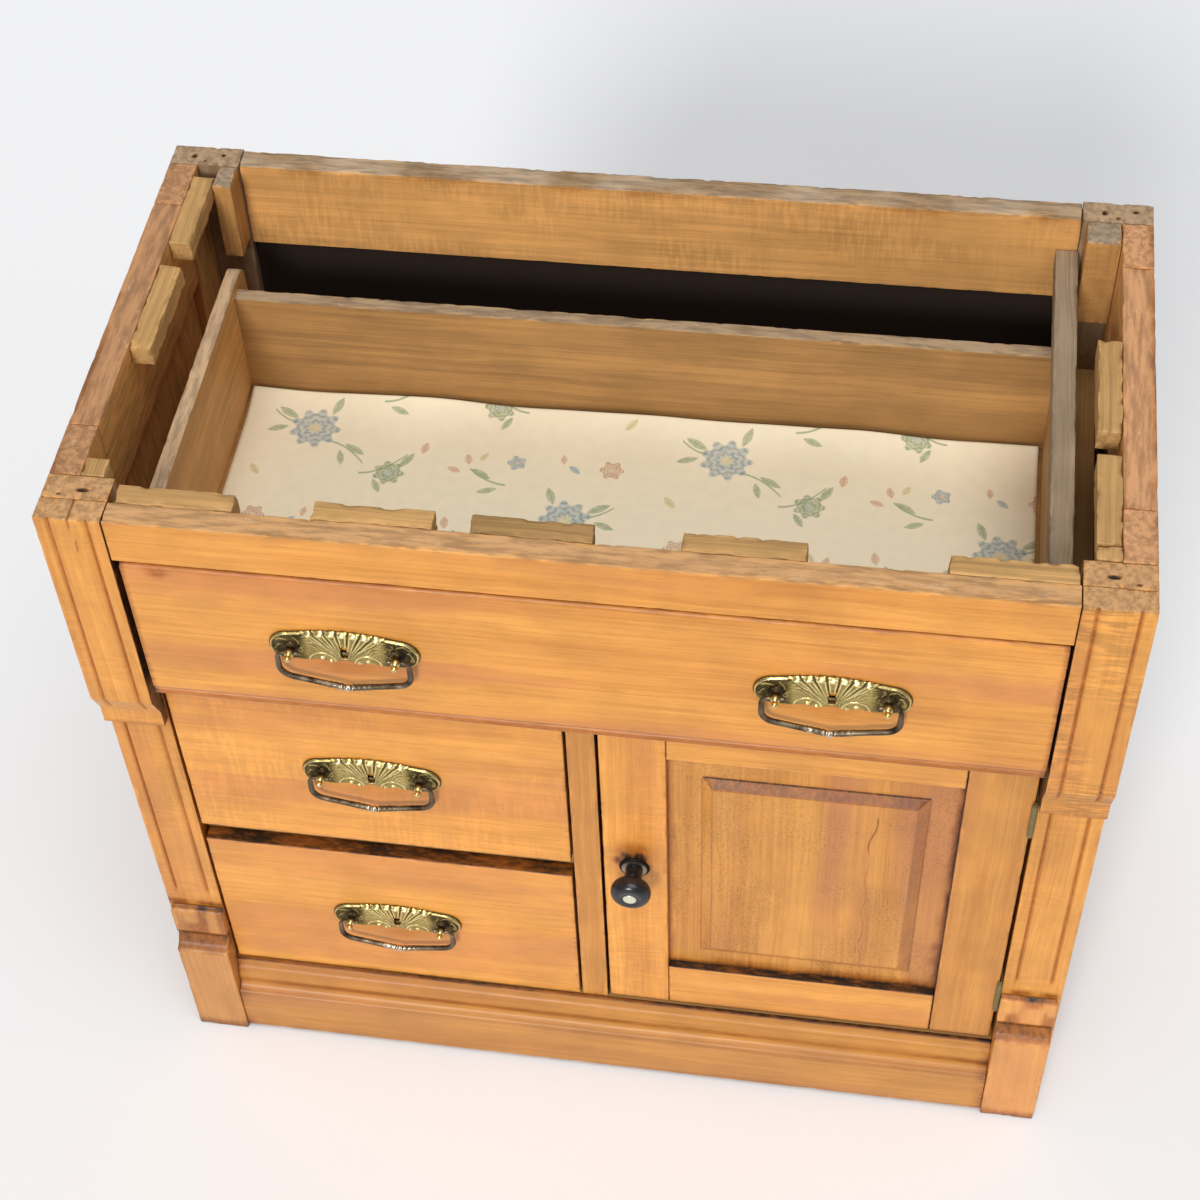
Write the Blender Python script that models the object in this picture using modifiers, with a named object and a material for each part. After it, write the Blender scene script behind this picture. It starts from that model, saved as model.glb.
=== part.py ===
"""Washstand base with its top board off: a case of posts, rails and panelled sides,
a full-width overhanging drawer, two small drawers, and a panelled cupboard door.

Metres, +Z up, +X to the right of someone who faces the drawers, -Y towards them.
The origin is on the floor, under the middle of the whole piece.
"""

import math

import bmesh
import bpy
from mathutils import Matrix, Vector

# Driving sizes of the case
BODY_WIDTH = 0.762
BODY_DEPTH = 0.400
BODY_HEIGHT = 0.705
BASE_HEIGHT = 0.102
SIDE_THICK = 0.023
POST_WIDTH = 0.049
POST_THICK = 0.022
BACK_POST_THICK = 0.022
BACK_POST_WIDTH_LEFT = 0.056
BACK_POST_WIDTH_RIGHT = 0.052

# Gaps between resting faces, drawer and door reveals, how far a cutter runs past a face, and
# how far a glued block reaches into the piece it is one body with
FIT = 0.0003
REVEAL = 0.002
OVERRUN = 0.002
BITE = 0.001
WELD = 0.00001

# Upper pilaster blocks, with their V grooves
BLOCK_THICK = 0.020
BLOCK_FACE_LENGTH = 0.207
BLOCK_SLOPE_HEIGHT = 0.024
BLOCK_TOE_HEIGHT = 0.018
BLOCK_SLOPE_SETBACK = 0.010
GROOVE_DEPTH = 0.0022
GROOVE_EDGE_STRIP = 0.0105
BLOCK_GROOVE_STOP = 0.007
POST_GROOVE_RISE = 0.016

# Foot blocks
FOOT_WIDTH = 0.046
FOOT_TOP = 0.180
FOOT_FACE_SETBACK = 0.003
FOOT_FACE_TOP = 0.128
FOOT_COVE_TOP = 0.144
FOOT_UPPER_SETBACK = 0.0125
FOOT_QUIRK = 0.0015
FOOT_TOP_RADIUS = 0.006
FOOT_TOE_RADIUS = 0.004

# Base board between the feet
BASE_BOARD_SETBACK = 0.005
BASE_BOARD_LIFT = 0.005
BASE_FACE_TOP = 0.063
BASE_COVE_RADIUS = 0.008
BASE_FILLET = 0.003
BASE_OVOLO_TOP = 0.090

# Rails and stiles of the front
TOP_RAIL_HEIGHT = 0.041
TOP_RAIL_SETBACK = 0.001
BLADE_THICK = 0.020
BLADE_DEPTH = 0.042
SMALL_RAIL_THICK = 0.0187
SMALL_RAIL_SETBACK = 0.012
SMALL_RAIL_DEPTH = 0.040
BOTTOM_RAIL_HEIGHT = 0.042
DRAWER_BAY_WIDTH = 0.312
DIVIDER_WIDTH = 0.0225
PARTITION_THICK = 0.012
PARTITION_INSET = 0.002
FLOOR_THICK = 0.012

# Side frames and back
SIDE_STILE_WIDTH = 0.048
SIDE_TOP_RAIL_HEIGHT = 0.080
SIDE_BOTTOM_RAIL_LOW = 0.040
SIDE_BOTTOM_RAIL_HEIGHT = 0.080
BOARD_THICK = 0.008
PANEL_SEAT = 0.007
BACK_RAIL_THICK = 0.019
BACK_TOP_RAIL_HEIGHT = 0.0795
BACK_TOP_RAIL_INSET = 0.001
BACK_BOTTOM_RAIL_LOW = 0.040
BACK_BOTTOM_RAIL_HEIGHT = 0.060
BACK_BOARD_COUNT = 4
BACK_JOINT_DEPTH = 0.002

# Runners, kicker and glue blocks
RUNNER_THICK = 0.018
RUNNER_TUCK = 0.004
GUIDE_HEIGHT = 0.020
GUIDE_SETBACK = 0.0005
KICKER_WIDTH = 0.017
KICKER_DROP = 0.030
KICKER_HEIGHT = 0.018
KICKER_INSET = 0.0025
GLUE_BLOCK_HEIGHT = 0.018
GLUE_BLOCK_WIDTH = 0.017
FRONT_BLOCK_LENGTH = 0.085
CORNER_BLOCK_LEFT_WIDTH = 0.015
CORNER_BLOCK_RIGHT_WIDTH = 0.0255
CORNER_BLOCK_DEPTH = 0.0245
CORNER_BLOCK_LEFT_HEIGHT = 0.073
CORNER_BLOCK_RIGHT_HEIGHT = 0.081
FRONT_BLOCK_FROM_LEFT = 0.0955
FRONT_BLOCKS_FROM_MIDDLE = (-0.1450, -0.0345, 0.1100)
FRONT_BLOCK_FROM_RIGHT = 0.0930
LEFT_BLOCK_SPANS = ((0.043, 0.060), (0.171, 0.261), (0.286, 0.364))
RIGHT_BLOCK_SPANS = ((0.043, 0.0555), (0.0575, 0.139), (0.160, 0.251))

# Drawers
DRAWER_FRONT_THICK = 0.020
DRAWER_SIDE_THICK = 0.012
DRAWER_BACK_THICK = 0.012
BACK_DROP = 0.007
DRAWER_BOTTOM_THICK = 0.007
DRAWER_BOTTOM_LIFT = 0.010
DRAWER_GROOVE_DEPTH = 0.006
DRAWER_DADO_DEPTH = 0.004
DRAWER_LAP = 0.007
TOP_FRONT_HEIGHT = 0.151
TOP_FRONT_GAP_LEFT = 0.005
TOP_FRONT_GAP_RIGHT = 0.002
TOP_SIDE_LENGTH = 0.322
TOP_SIDE_DROP = 0.007
TOP_BACK_INSET = 0.022
LOWER_FRONT_HEIGHT = 0.1855
SMALL_SIDE_LENGTH = 0.320
SMALL_SIDE_DROP = 0.010
SMALL_BACK_INSET = 0.014
SIDE_END_RADIUS = 0.012
NOSE_RADIUS = 0.0045
NOSE_QUIRK = 0.0015
FRONT_TOP_RADIUS = 0.004
FRONT_EDGE_BEVEL = 0.0012
TAIL_ROOT_SHARE = 0.50
TAIL_TIP_SHARE = 0.72
TOP_TAIL_COUNT = 5
SMALL_TAIL_COUNT = 6
LINER_THICK = 0.0005
LINER_MARGIN = 0.003
LINER_CURL = 0.010
LINER_CURL_REACH = 0.040

# Door
DOOR_THICK = 0.020
DOOR_BOTTOM_GAP = 0.004
DOOR_STILE_WIDTH = 0.051
DOOR_TOP_RAIL_HEIGHT = 0.046
DOOR_BOTTOM_RAIL_HEIGHT = 0.057
DOOR_PANEL_INSET = 0.007
DOOR_PANEL_EDGE = 0.0075
FIELD_MARGIN = 0.0260
FIELD_BEVEL = 0.0085
FIELD_RISE = 0.006

# Hinges
HINGE_GAP = 0.0025
HINGE_HEIGHT = 0.040
HINGE_RADIUS = 0.0023
HINGE_PIN_RADIUS = 0.0011
HINGE_LEAF_THICK = 0.0012
HINGE_LEAF_REACH = 0.018
HINGE_PIN_OFFSET = 0.0001
HINGE_LOWER_RISE = 0.071
HINGE_UPPER_DROP = 0.0745
KNUCKLE_COUNT = 3
PIN_HEAD_RADIUS = 0.0020
PIN_HEAD_HEIGHT = 0.0012

# Knob and catch
KNOB_INSET = 0.025
KNOB_RISE = 0.206
KNOB_RADIUS = 0.0162
KNOB_REACH = 0.0320
KNOB_NECK_RADIUS = 0.0070
KNOB_BACK = 0.0032
ROSE_RADIUS = 0.0125
ROSE_THICK = 0.0026
SPINDLE_RADIUS = 0.0040
SPINDLE_PLAY = 0.0005
BUTTON_RADIUS = 0.0050
BUTTON_RISE = 0.0015
TONGUE_LENGTH = 0.0335
TONGUE_WIDTH = 0.012
TONGUE_THICK = 0.0025
TONGUE_GAP = 0.0005

# Pulls
PULL_END_REACH = 0.0165
PULL_LOBE_RADIUS = 0.015
PULL_CROWN = 0.0050
PULL_SCROLL_RISE = 0.0028
PULL_PLATE_THICK = 0.0010
PULL_RELIEF = 0.0022
PULL_RIM = 0.0030
PULL_FLUTE_DEPTH = 0.0009
PULL_HALF_SPACING = 0.039
POST_FLANGE_RADIUS = 0.0056
POST_FLANGE_THICK = 0.0010
POST_NECK_RADIUS = 0.0032
POST_BALL_RADIUS = 0.0044
POST_BALL_REACH = 0.0064
POST_TIP_RADIUS = 0.0030
POST_TIP_REACH = 0.0120
POST_STEM_RADIUS = 0.0016
STEM_PLAY = 0.0004
NUT_RADIUS = 0.0045
NUT_THICK = 0.0030
BAIL_WIRE_RADIUS = 0.0024
BAIL_END_RADIUS = 0.0014
BAIL_OVERHANG = 0.0095
BAIL_CORNER_DROP = 0.0250
BAIL_DROP = 0.0350
BAIL_END_STUB = 0.0065
BAIL_SHOULDER_RADIUS = 0.0040
BAIL_CORNER_RADIUS = 0.0080
BAIL_BEAD_SHARE = 1.35
KEYHOLE_WIDTH = 0.0058
KEYHOLE_HEIGHT = 0.0130
KEYHOLE_TOP = 0.0050
TOP_PULL_INSET = 0.158
TOP_PULL_SHIFT = 0.002
TOP_PULL_LIFT = 0.0035
UPPER_PULL_LIFT = -0.0029
LOWER_PULL_LIFT = 0.0

# Counts, and the share of a pull's half width that its plate's grid covers
PLATE_COLUMNS = 22
PLATE_ROWS = 6
PLATE_END_SHARE = 0.98
FLUTE_COUNT = 7
TURN_STEPS = 12
KNOB_STEPS = 24
ARC_STEPS = 4
BALL_STEPS = 3

# Places that follow from the sizes above
HALF_WIDTH = BODY_WIDTH / 2
POST_INNER = HALF_WIDTH - POST_WIDTH
SIDE_INNER = HALF_WIDTH - SIDE_THICK
PULL_HALF_WIDTH = PULL_HALF_SPACING + PULL_END_REACH
BAIL_HALF_WIDTH = PULL_HALF_SPACING + BAIL_OVERHANG
PULL_STANDOFF = PULL_RELIEF + PULL_PLATE_THICK + FIT
PULL_SEAT = PULL_STANDOFF - PULL_FLUTE_DEPTH
PULL_REACH = PULL_SEAT + POST_TIP_REACH + POST_TIP_RADIUS
FRONT = (PULL_REACH - BODY_DEPTH) / 2
BACK = FRONT + BODY_DEPTH
CASE_FACE = FRONT + BLOCK_THICK
FRAME_FRONT = CASE_FACE + POST_THICK
FRAME_BACK = BACK - BACK_POST_THICK
TOP_FRONT_HIGH = BODY_HEIGHT - TOP_RAIL_HEIGHT - REVEAL
TOP_FRONT_LOW = TOP_FRONT_HIGH - TOP_FRONT_HEIGHT
BLADE_TOP = TOP_FRONT_LOW + BLADE_THICK
BLOCK_SLOPE_TOP = BODY_HEIGHT - BLOCK_FACE_LENGTH
BLOCK_SLOPE_FOOT = BLOCK_SLOPE_TOP - BLOCK_SLOPE_HEIGHT
BLOCK_BOTTOM = BLOCK_SLOPE_FOOT - BLOCK_TOE_HEIGHT
POST_GROOVE_LOW = FOOT_TOP + POST_GROOVE_RISE
KICKER_TOP = BODY_HEIGHT - KICKER_DROP
KICKER_RIGHT = POST_INNER - KICKER_INSET
FRONT_BLOCK_MIDDLES = (
    FRONT_BLOCK_FROM_LEFT - HALF_WIDTH, *FRONT_BLOCKS_FROM_MIDDLE,
    HALF_WIDTH - FRONT_BLOCK_FROM_RIGHT)
LOWER_FRONT_LOW = BASE_HEIGHT + FIT
LOWER_FRONT_HIGH = LOWER_FRONT_LOW + LOWER_FRONT_HEIGHT
SMALL_RAIL_LOW = LOWER_FRONT_HIGH + REVEAL
SMALL_RAIL_TOP = SMALL_RAIL_LOW + SMALL_RAIL_THICK
UPPER_FRONT_LOW = SMALL_RAIL_TOP + FIT
UPPER_FRONT_HIGH = TOP_FRONT_LOW - REVEAL
DIVIDER_LEFT = DRAWER_BAY_WIDTH - POST_INNER
DIVIDER_RIGHT = DIVIDER_LEFT + DIVIDER_WIDTH
PARTITION_LEFT = DIVIDER_LEFT + PARTITION_INSET
PARTITION_RIGHT = PARTITION_LEFT + PARTITION_THICK
DOOR_LEFT = DIVIDER_RIGHT + REVEAL
DOOR_RIGHT = POST_INNER - HINGE_GAP
DOOR_LOW = BASE_HEIGHT + DOOR_BOTTOM_GAP
DOOR_HIGH = UPPER_FRONT_HIGH
DOOR_BACK = CASE_FACE + DOOR_THICK
HINGE_MIDDLES = (DOOR_LOW + HINGE_LOWER_RISE, DOOR_HIGH - HINGE_UPPER_DROP)
PIN_X = DOOR_RIGHT - HINGE_PIN_OFFSET
PIN_Y = CASE_FACE - HINGE_RADIUS - FIT
KNOB_X = DOOR_LEFT + KNOB_INSET
KNOB_HEIGHT = DOOR_LOW + KNOB_RISE
TOP_PULL_HALF_SPACING = POST_INNER - TOP_PULL_INSET
TOP_PULL_HEIGHT = (TOP_FRONT_LOW + TOP_FRONT_HIGH) / 2 + TOP_PULL_LIFT
UPPER_PULL_HEIGHT = (UPPER_FRONT_LOW + UPPER_FRONT_HIGH) / 2 + UPPER_PULL_LIFT
LOWER_PULL_HEIGHT = (LOWER_FRONT_LOW + LOWER_FRONT_HIGH) / 2 + LOWER_PULL_LIFT

# Axis directions of a flat outline that is carried along X, Y or Z
CARRY = {
    "X": Matrix(((0, 0, 1, 0), (1, 0, 0, 0), (0, 1, 0, 0), (0, 0, 0, 1))),
    "Y": Matrix(((0, 1, 0, 0), (0, 0, 1, 0), (1, 0, 0, 0), (0, 0, 0, 1))),
    "Z": Matrix.Identity(4),
}
FACE_FORWARD = Matrix.Rotation(math.radians(90), 4, "X")


def clear_scene():
    for item in list(bpy.data.objects):
        bpy.data.objects.remove(item, do_unlink=True)


def make_collection(name):
    made = bpy.data.collections.new(name)
    bpy.context.scene.collection.children.link(made)
    return made


def make_material(name, colour, roughness, metallic):
    made = bpy.data.materials.new(name)
    made.use_nodes = True
    made.diffuse_color = (*colour, 1.0)
    shader = made.node_tree.nodes["Principled BSDF"]
    shader.inputs["Base Color"].default_value = (*colour, 1.0)
    shader.inputs["Roughness"].default_value = roughness
    shader.inputs["Metallic"].default_value = metallic
    return made


clear_scene()
PARTS = make_collection("washstand")
CUTTERS = make_collection("cutters")

FINISHES = {
    "front_wood": ((0.72, 0.37, 0.13), 0.35),
    "figured_wood": ((0.70, 0.36, 0.12), 0.32),
    "side_wood": ((0.62, 0.28, 0.10), 0.45),
    "raw_edge": ((0.40, 0.28, 0.17), 0.80),
    "inner_wood": ((0.42, 0.27, 0.13), 0.70),
    "back_wood": ((0.52, 0.30, 0.12), 0.65),
    "paper": ((0.88, 0.76, 0.55), 0.85),
    "black_glaze": ((0.012, 0.012, 0.014), 0.12),
}
METALS = {
    "stamped_brass": ((0.62, 0.45, 0.16), 0.35),
    "dark_bronze": ((0.22, 0.18, 0.13), 0.40),
    "aged_brass": ((0.36, 0.33, 0.20), 0.50),
    "white_metal": ((0.70, 0.70, 0.68), 0.35),
}


def own_material(node, finish):
    """Each node has a material of its own, so that it can be repainted alone."""
    if finish in METALS:
        return make_material(node, *METALS[finish], metallic=1)
    return make_material(node, *FINISHES[finish], metallic=0)


def place(node, mesh, finish, home=None):
    """Puts a mesh in the scene, with the object's origin in its middle, or on its joint's axis."""
    corners = [vertex.co for vertex in mesh.vertices]
    low = Vector([min(corner[axis] for corner in corners) for axis in range(3)])
    high = Vector([max(corner[axis] for corner in corners) for axis in range(3)])
    mesh.name = node
    made = bpy.data.objects.new(node, mesh)
    if home:
        origin = home.location
        made.parent = home
    else:
        origin = (low + high) / 2
        made.location = origin
    mesh.transform(Matrix.Translation(-origin))
    mesh.materials.clear()
    mesh.materials.append(own_material(node, finish))
    PARTS.objects.link(made)
    return made


def joint_home(name, location, parent=None):
    """An empty on a joint's axis, which carries the pieces that move together."""
    home = bpy.data.objects.new(name, None)
    home.location = location
    if parent:
        home.parent = parent
        home.matrix_parent_inverse = Matrix.Translation(-parent.location)
    PARTS.objects.link(home)
    return home


def as_cutter(name, mesh):
    made = bpy.data.objects.new(name, mesh)
    made.hide_render = True
    made.display_type = "WIRE"
    CUTTERS.objects.link(made)
    return made


def cut(piece, cutter, operation="DIFFERENCE"):
    step = piece.modifiers.new(cutter.name, "BOOLEAN")
    step.operation = operation
    step.solver = "EXACT"
    step.object = cutter
    return piece


def ease_edges(piece, width):
    step = piece.modifiers.new("eased edges", "BEVEL")
    step.width = width
    step.segments = 1
    step.limit_method = "ANGLE"


def mesh_from(shape):
    made = bpy.data.meshes.new("shape")
    shape.to_mesh(made)
    shape.free()
    return made


def joined(meshes):
    """Several meshes as one, each still a body of its own."""
    shape = bmesh.new()
    for mesh in meshes:
        shape.from_mesh(mesh)
        bpy.data.meshes.remove(mesh)
    return mesh_from(shape)


def box_mesh(spans):
    """One block for each ((x low, x high), (y low, y high), (z low, z high))."""
    shape = bmesh.new()
    for span in spans:
        middle = Vector([(low + high) / 2 for low, high in span])
        size = [high - low for low, high in span]
        matrix = Matrix.Translation(middle) @ Matrix.Diagonal((*size, 1.0))
        bmesh.ops.create_cube(shape, size=1.0, matrix=matrix)
    return mesh_from(shape)


def evaluated_mesh(maker):
    """The finished mesh of a curve or of an object with modifiers, which is then removed."""
    bpy.context.scene.collection.objects.link(maker)
    graph = bpy.context.evaluated_depsgraph_get()
    made = bpy.data.meshes.new_from_object(maker.evaluated_get(graph))
    bpy.data.objects.remove(maker)
    shape = bmesh.new()
    shape.from_mesh(made)
    bpy.data.meshes.remove(made)
    bmesh.ops.remove_doubles(shape, verts=shape.verts, dist=WELD)
    bmesh.ops.recalc_face_normals(shape, faces=shape.faces)
    return mesh_from(shape)


def prism_mesh(outline, axis, low, high):
    """A flat outline carried straight from low to high along an axis. The outline's pairs are
    (y, z) along X, (z, x) along Y and (x, y) along Z."""
    curve = bpy.data.curves.new("outline", "CURVE")
    curve.dimensions = "2D"
    curve.fill_mode = "BOTH"
    curve.extrude = (high - low) / 2
    spline = curve.splines.new("POLY")
    spline.points.add(len(outline) - 1)
    for point, (first, second) in zip(spline.points, outline):
        point.co = (first, second, 0, 1)
    spline.use_cyclic_u = True
    mesh = evaluated_mesh(bpy.data.objects.new("outline", curve))
    mesh.transform(CARRY[axis] @ Matrix.Translation((0, 0, (low + high) / 2)))
    return mesh


def turned_mesh(profile, steps):
    """A (radius, height) profile, listed from the top down its outer side, turned round Z."""
    shape = bmesh.new()
    points = [shape.verts.new((radius, 0, height)) for radius, height in profile]
    for upper, lower in zip(points, points[1:]):
        shape.edges.new((upper, lower))
    maker = bpy.data.objects.new("profile", mesh_from(shape))
    turn = maker.modifiers.new("turn", "SCREW")
    turn.steps = steps
    turn.render_steps = steps
    turn.use_merge_vertices = True
    turn.merge_threshold = WELD
    mesh = evaluated_mesh(maker)
    mesh.shade_smooth()
    mesh.set_sharp_from_angle(angle=math.radians(35))
    return mesh


def wire_mesh(path, radii):
    """A round wire through the points of a path, with a radius at each."""
    curve = bpy.data.curves.new("wire", "CURVE")
    curve.dimensions = "3D"
    curve.bevel_depth = 1.0
    curve.bevel_resolution = 2
    curve.use_fill_caps = True
    spline = curve.splines.new("POLY")
    spline.points.add(len(path) - 1)
    for point, place_of, radius in zip(spline.points, path, radii):
        point.co = (*place_of, 1)
        point.radius = radius
    mesh = evaluated_mesh(bpy.data.objects.new("wire", curve))
    mesh.shade_smooth()
    mesh.set_sharp_from_angle(angle=math.radians(60))
    return mesh


def arc(centre, radius, start, end, steps=ARC_STEPS):
    """Points on an arc from one angle to another, in degrees from the first axis to the second."""
    points = []
    for step in range(steps + 1):
        angle = math.radians(start + (end - start) * step / steps)
        points.append((centre[0] + radius * math.cos(angle), centre[1] + radius * math.sin(angle)))
    return points


def rod_mesh(centre, axis, radius, length, steps=TURN_STEPS):
    """A cylinder along an axis, with its middle at a point."""
    shape = bmesh.new()
    matrix = Matrix.Translation(centre) @ CARRY[axis]
    bmesh.ops.create_cone(shape, cap_ends=True, segments=steps, radius1=radius, radius2=radius,
                          depth=length, matrix=matrix)
    return mesh_from(shape)


def v_groove_mesh(columns, face, low, high):
    """Square rods that stand on edge in a face, pointed at both ends, one for each x."""
    shape = bmesh.new()
    for x in columns:
        middle = Vector((x, face, (low + high) / 2))
        made = bmesh.ops.create_cone(shape, cap_ends=True, segments=4, radius1=GROOVE_DEPTH,
                                     radius2=GROOVE_DEPTH, depth=high - low - 2 * GROOVE_DEPTH,
                                     matrix=Matrix.Translation(middle))
        faces = {face_of for vertex in made["verts"] for face_of in vertex.link_faces}
        ends = [end for end in faces if abs(end.normal.z) > abs(end.normal.x) + abs(end.normal.y)]
        bmesh.ops.poke(shape, faces=ends, offset=GROOVE_DEPTH)
    return mesh_from(shape)


# Case


def make_posts_and_blocks():
    """Front posts with the upper blocks and the foot blocks on them, left and right."""
    block_outline = [
        (FRONT, BODY_HEIGHT),
        (FRONT, BLOCK_SLOPE_TOP),
        (FRONT + BLOCK_SLOPE_SETBACK, BLOCK_SLOPE_FOOT),
        (FRONT + BLOCK_SLOPE_SETBACK, BLOCK_BOTTOM),
        (CASE_FACE - FIT, BLOCK_BOTTOM),
        (CASE_FACE - FIT, BODY_HEIGHT),
    ]
    foot_face = FRONT + FOOT_FACE_SETBACK
    upper_face = FRONT + FOOT_UPPER_SETBACK
    cove = FOOT_COVE_TOP - FOOT_FACE_TOP
    foot_outline = [(CASE_FACE - FIT, 0), (foot_face + FOOT_TOE_RADIUS, 0)]
    foot_outline += [(foot_face, FOOT_TOE_RADIUS), (foot_face, FOOT_FACE_TOP)]
    for step in range(1, ARC_STEPS + 1):
        turn = math.radians(90) * step / ARC_STEPS
        back = (upper_face + FOOT_QUIRK - foot_face) * (1 - math.cos(turn))
        foot_outline.append((foot_face + back, FOOT_FACE_TOP + cove * math.sin(turn)))
    foot_outline.append((upper_face, FOOT_COVE_TOP + FOOT_QUIRK))
    corner = (upper_face + FOOT_TOP_RADIUS, FOOT_TOP - FOOT_TOP_RADIUS)
    foot_outline += arc(corner, FOOT_TOP_RADIUS, 180, 90)
    foot_outline.append((CASE_FACE - FIT, FOOT_TOP))
    for side, word in ((-1, "left"), (1, "right")):
        outer = side * HALF_WIDTH
        inner = side * POST_INNER
        span = (min(inner, outer), max(inner, outer))
        strips = (inner + side * GROOVE_EDGE_STRIP, outer - side * GROOVE_EDGE_STRIP)
        post = place("front_post_" + word, box_mesh([
            (span, (CASE_FACE, FRAME_FRONT), (0, BODY_HEIGHT))]), "front_wood")
        cut(post, as_cutter("post_grooves_" + word, v_groove_mesh(
            strips, CASE_FACE, POST_GROOVE_LOW, BLOCK_BOTTOM + BLOCK_THICK)))
        block = place("upper_block_" + word, prism_mesh(block_outline, "X", *span), "figured_wood")
        cut(block, as_cutter("block_grooves_" + word, v_groove_mesh(
            strips, FRONT, BLOCK_SLOPE_FOOT, BODY_HEIGHT - BLOCK_GROOVE_STOP)))
        foot_outer = inner + side * FOOT_WIDTH
        foot_span = (min(inner, foot_outer), max(inner, foot_outer))
        place("foot_block_" + word, prism_mesh(foot_outline, "X", *foot_span), "front_wood")


def make_back():
    """Back posts with the corner blocks glued to them, the two back rails, and the back panel,
    boards glued edge to edge with a V at each joint, let into all four."""
    left_inner = BACK_POST_WIDTH_LEFT - HALF_WIDTH
    right_inner = HALF_WIDTH - BACK_POST_WIDTH_RIGHT
    rail_y = (FRAME_BACK + BACK_TOP_RAIL_INSET, FRAME_BACK + BACK_TOP_RAIL_INSET + BACK_RAIL_THICK)
    board_front = (rail_y[0] + rail_y[1] - BOARD_THICK) / 2
    board_y = (board_front, board_front + BOARD_THICK)
    groove_y = (board_y[0] - FIT, board_y[1] + FIT)
    top_low = BODY_HEIGHT - BACK_TOP_RAIL_HEIGHT
    bottom_top = BACK_BOTTOM_RAIL_LOW + BACK_BOTTOM_RAIL_HEIGHT
    groove_z = (BACK_BOTTOM_RAIL_LOW, top_low + PANEL_SEAT)
    left_block = 2 * FIT + GLUE_BLOCK_WIDTH - SIDE_INNER
    right_block = SIDE_INNER - FIT
    for word, post_x, groove_x, block_x, block_height in (
            ("left", (-HALF_WIDTH, left_inner), (left_inner - PANEL_SEAT, left_inner + OVERRUN),
             (left_block, left_block + CORNER_BLOCK_LEFT_WIDTH), CORNER_BLOCK_LEFT_HEIGHT),
            ("right", (right_inner, HALF_WIDTH), (right_inner - OVERRUN, right_inner + PANEL_SEAT),
             (right_block - CORNER_BLOCK_RIGHT_WIDTH, right_block), CORNER_BLOCK_RIGHT_HEIGHT)):
        post = place("back_post_" + word, box_mesh([
            (post_x, (FRAME_BACK, BACK), (0, BODY_HEIGHT))]), "raw_edge")
        cut(post, as_cutter("corner_block_" + word, box_mesh([
            (block_x, (FRAME_BACK - CORNER_BLOCK_DEPTH, FRAME_BACK + BITE),
             (BODY_HEIGHT - block_height, BODY_HEIGHT))])), "UNION")
        cut(post, as_cutter("back_groove_" + word, box_mesh([(groove_x, groove_y, groove_z)])))

    rail_x = (left_inner + FIT, right_inner - FIT)
    run = (left_inner - OVERRUN, right_inner + OVERRUN)
    top = place("back_top_rail", box_mesh([(rail_x, rail_y, (top_low, BODY_HEIGHT))]), "back_wood")
    cut(top, as_cutter("back_groove_top", box_mesh([
        (run, groove_y, (top_low - OVERRUN, top_low + PANEL_SEAT))])))
    bottom = place("back_bottom_rail", box_mesh([
        (rail_x, rail_y, (BACK_BOTTOM_RAIL_LOW, bottom_top))]), "back_wood")
    cut(bottom, as_cutter("back_groove_bottom", box_mesh([
        (run, groove_y, (bottom_top - PANEL_SEAT, bottom_top + OVERRUN))])))

    ends = (left_inner - PANEL_SEAT + FIT, right_inner + PANEL_SEAT - FIT)
    pitch = (ends[1] - ends[0]) / BACK_BOARD_COUNT
    plan = [(ends[0], board_y[1]), (ends[0], board_y[0]), (ends[1], board_y[0]),
            (ends[1], board_y[1])]
    for index in range(BACK_BOARD_COUNT - 1, 0, -1):
        joint = ends[0] + pitch * index
        plan += [(joint + BACK_JOINT_DEPTH, board_y[1]), (joint, board_y[1] - BACK_JOINT_DEPTH),
                 (joint - BACK_JOINT_DEPTH, board_y[1])]
    place("back_panel", prism_mesh(
        plan, "Z", bottom_top - PANEL_SEAT + FIT, top_low + PANEL_SEAT - FIT), "back_wood")


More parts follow.
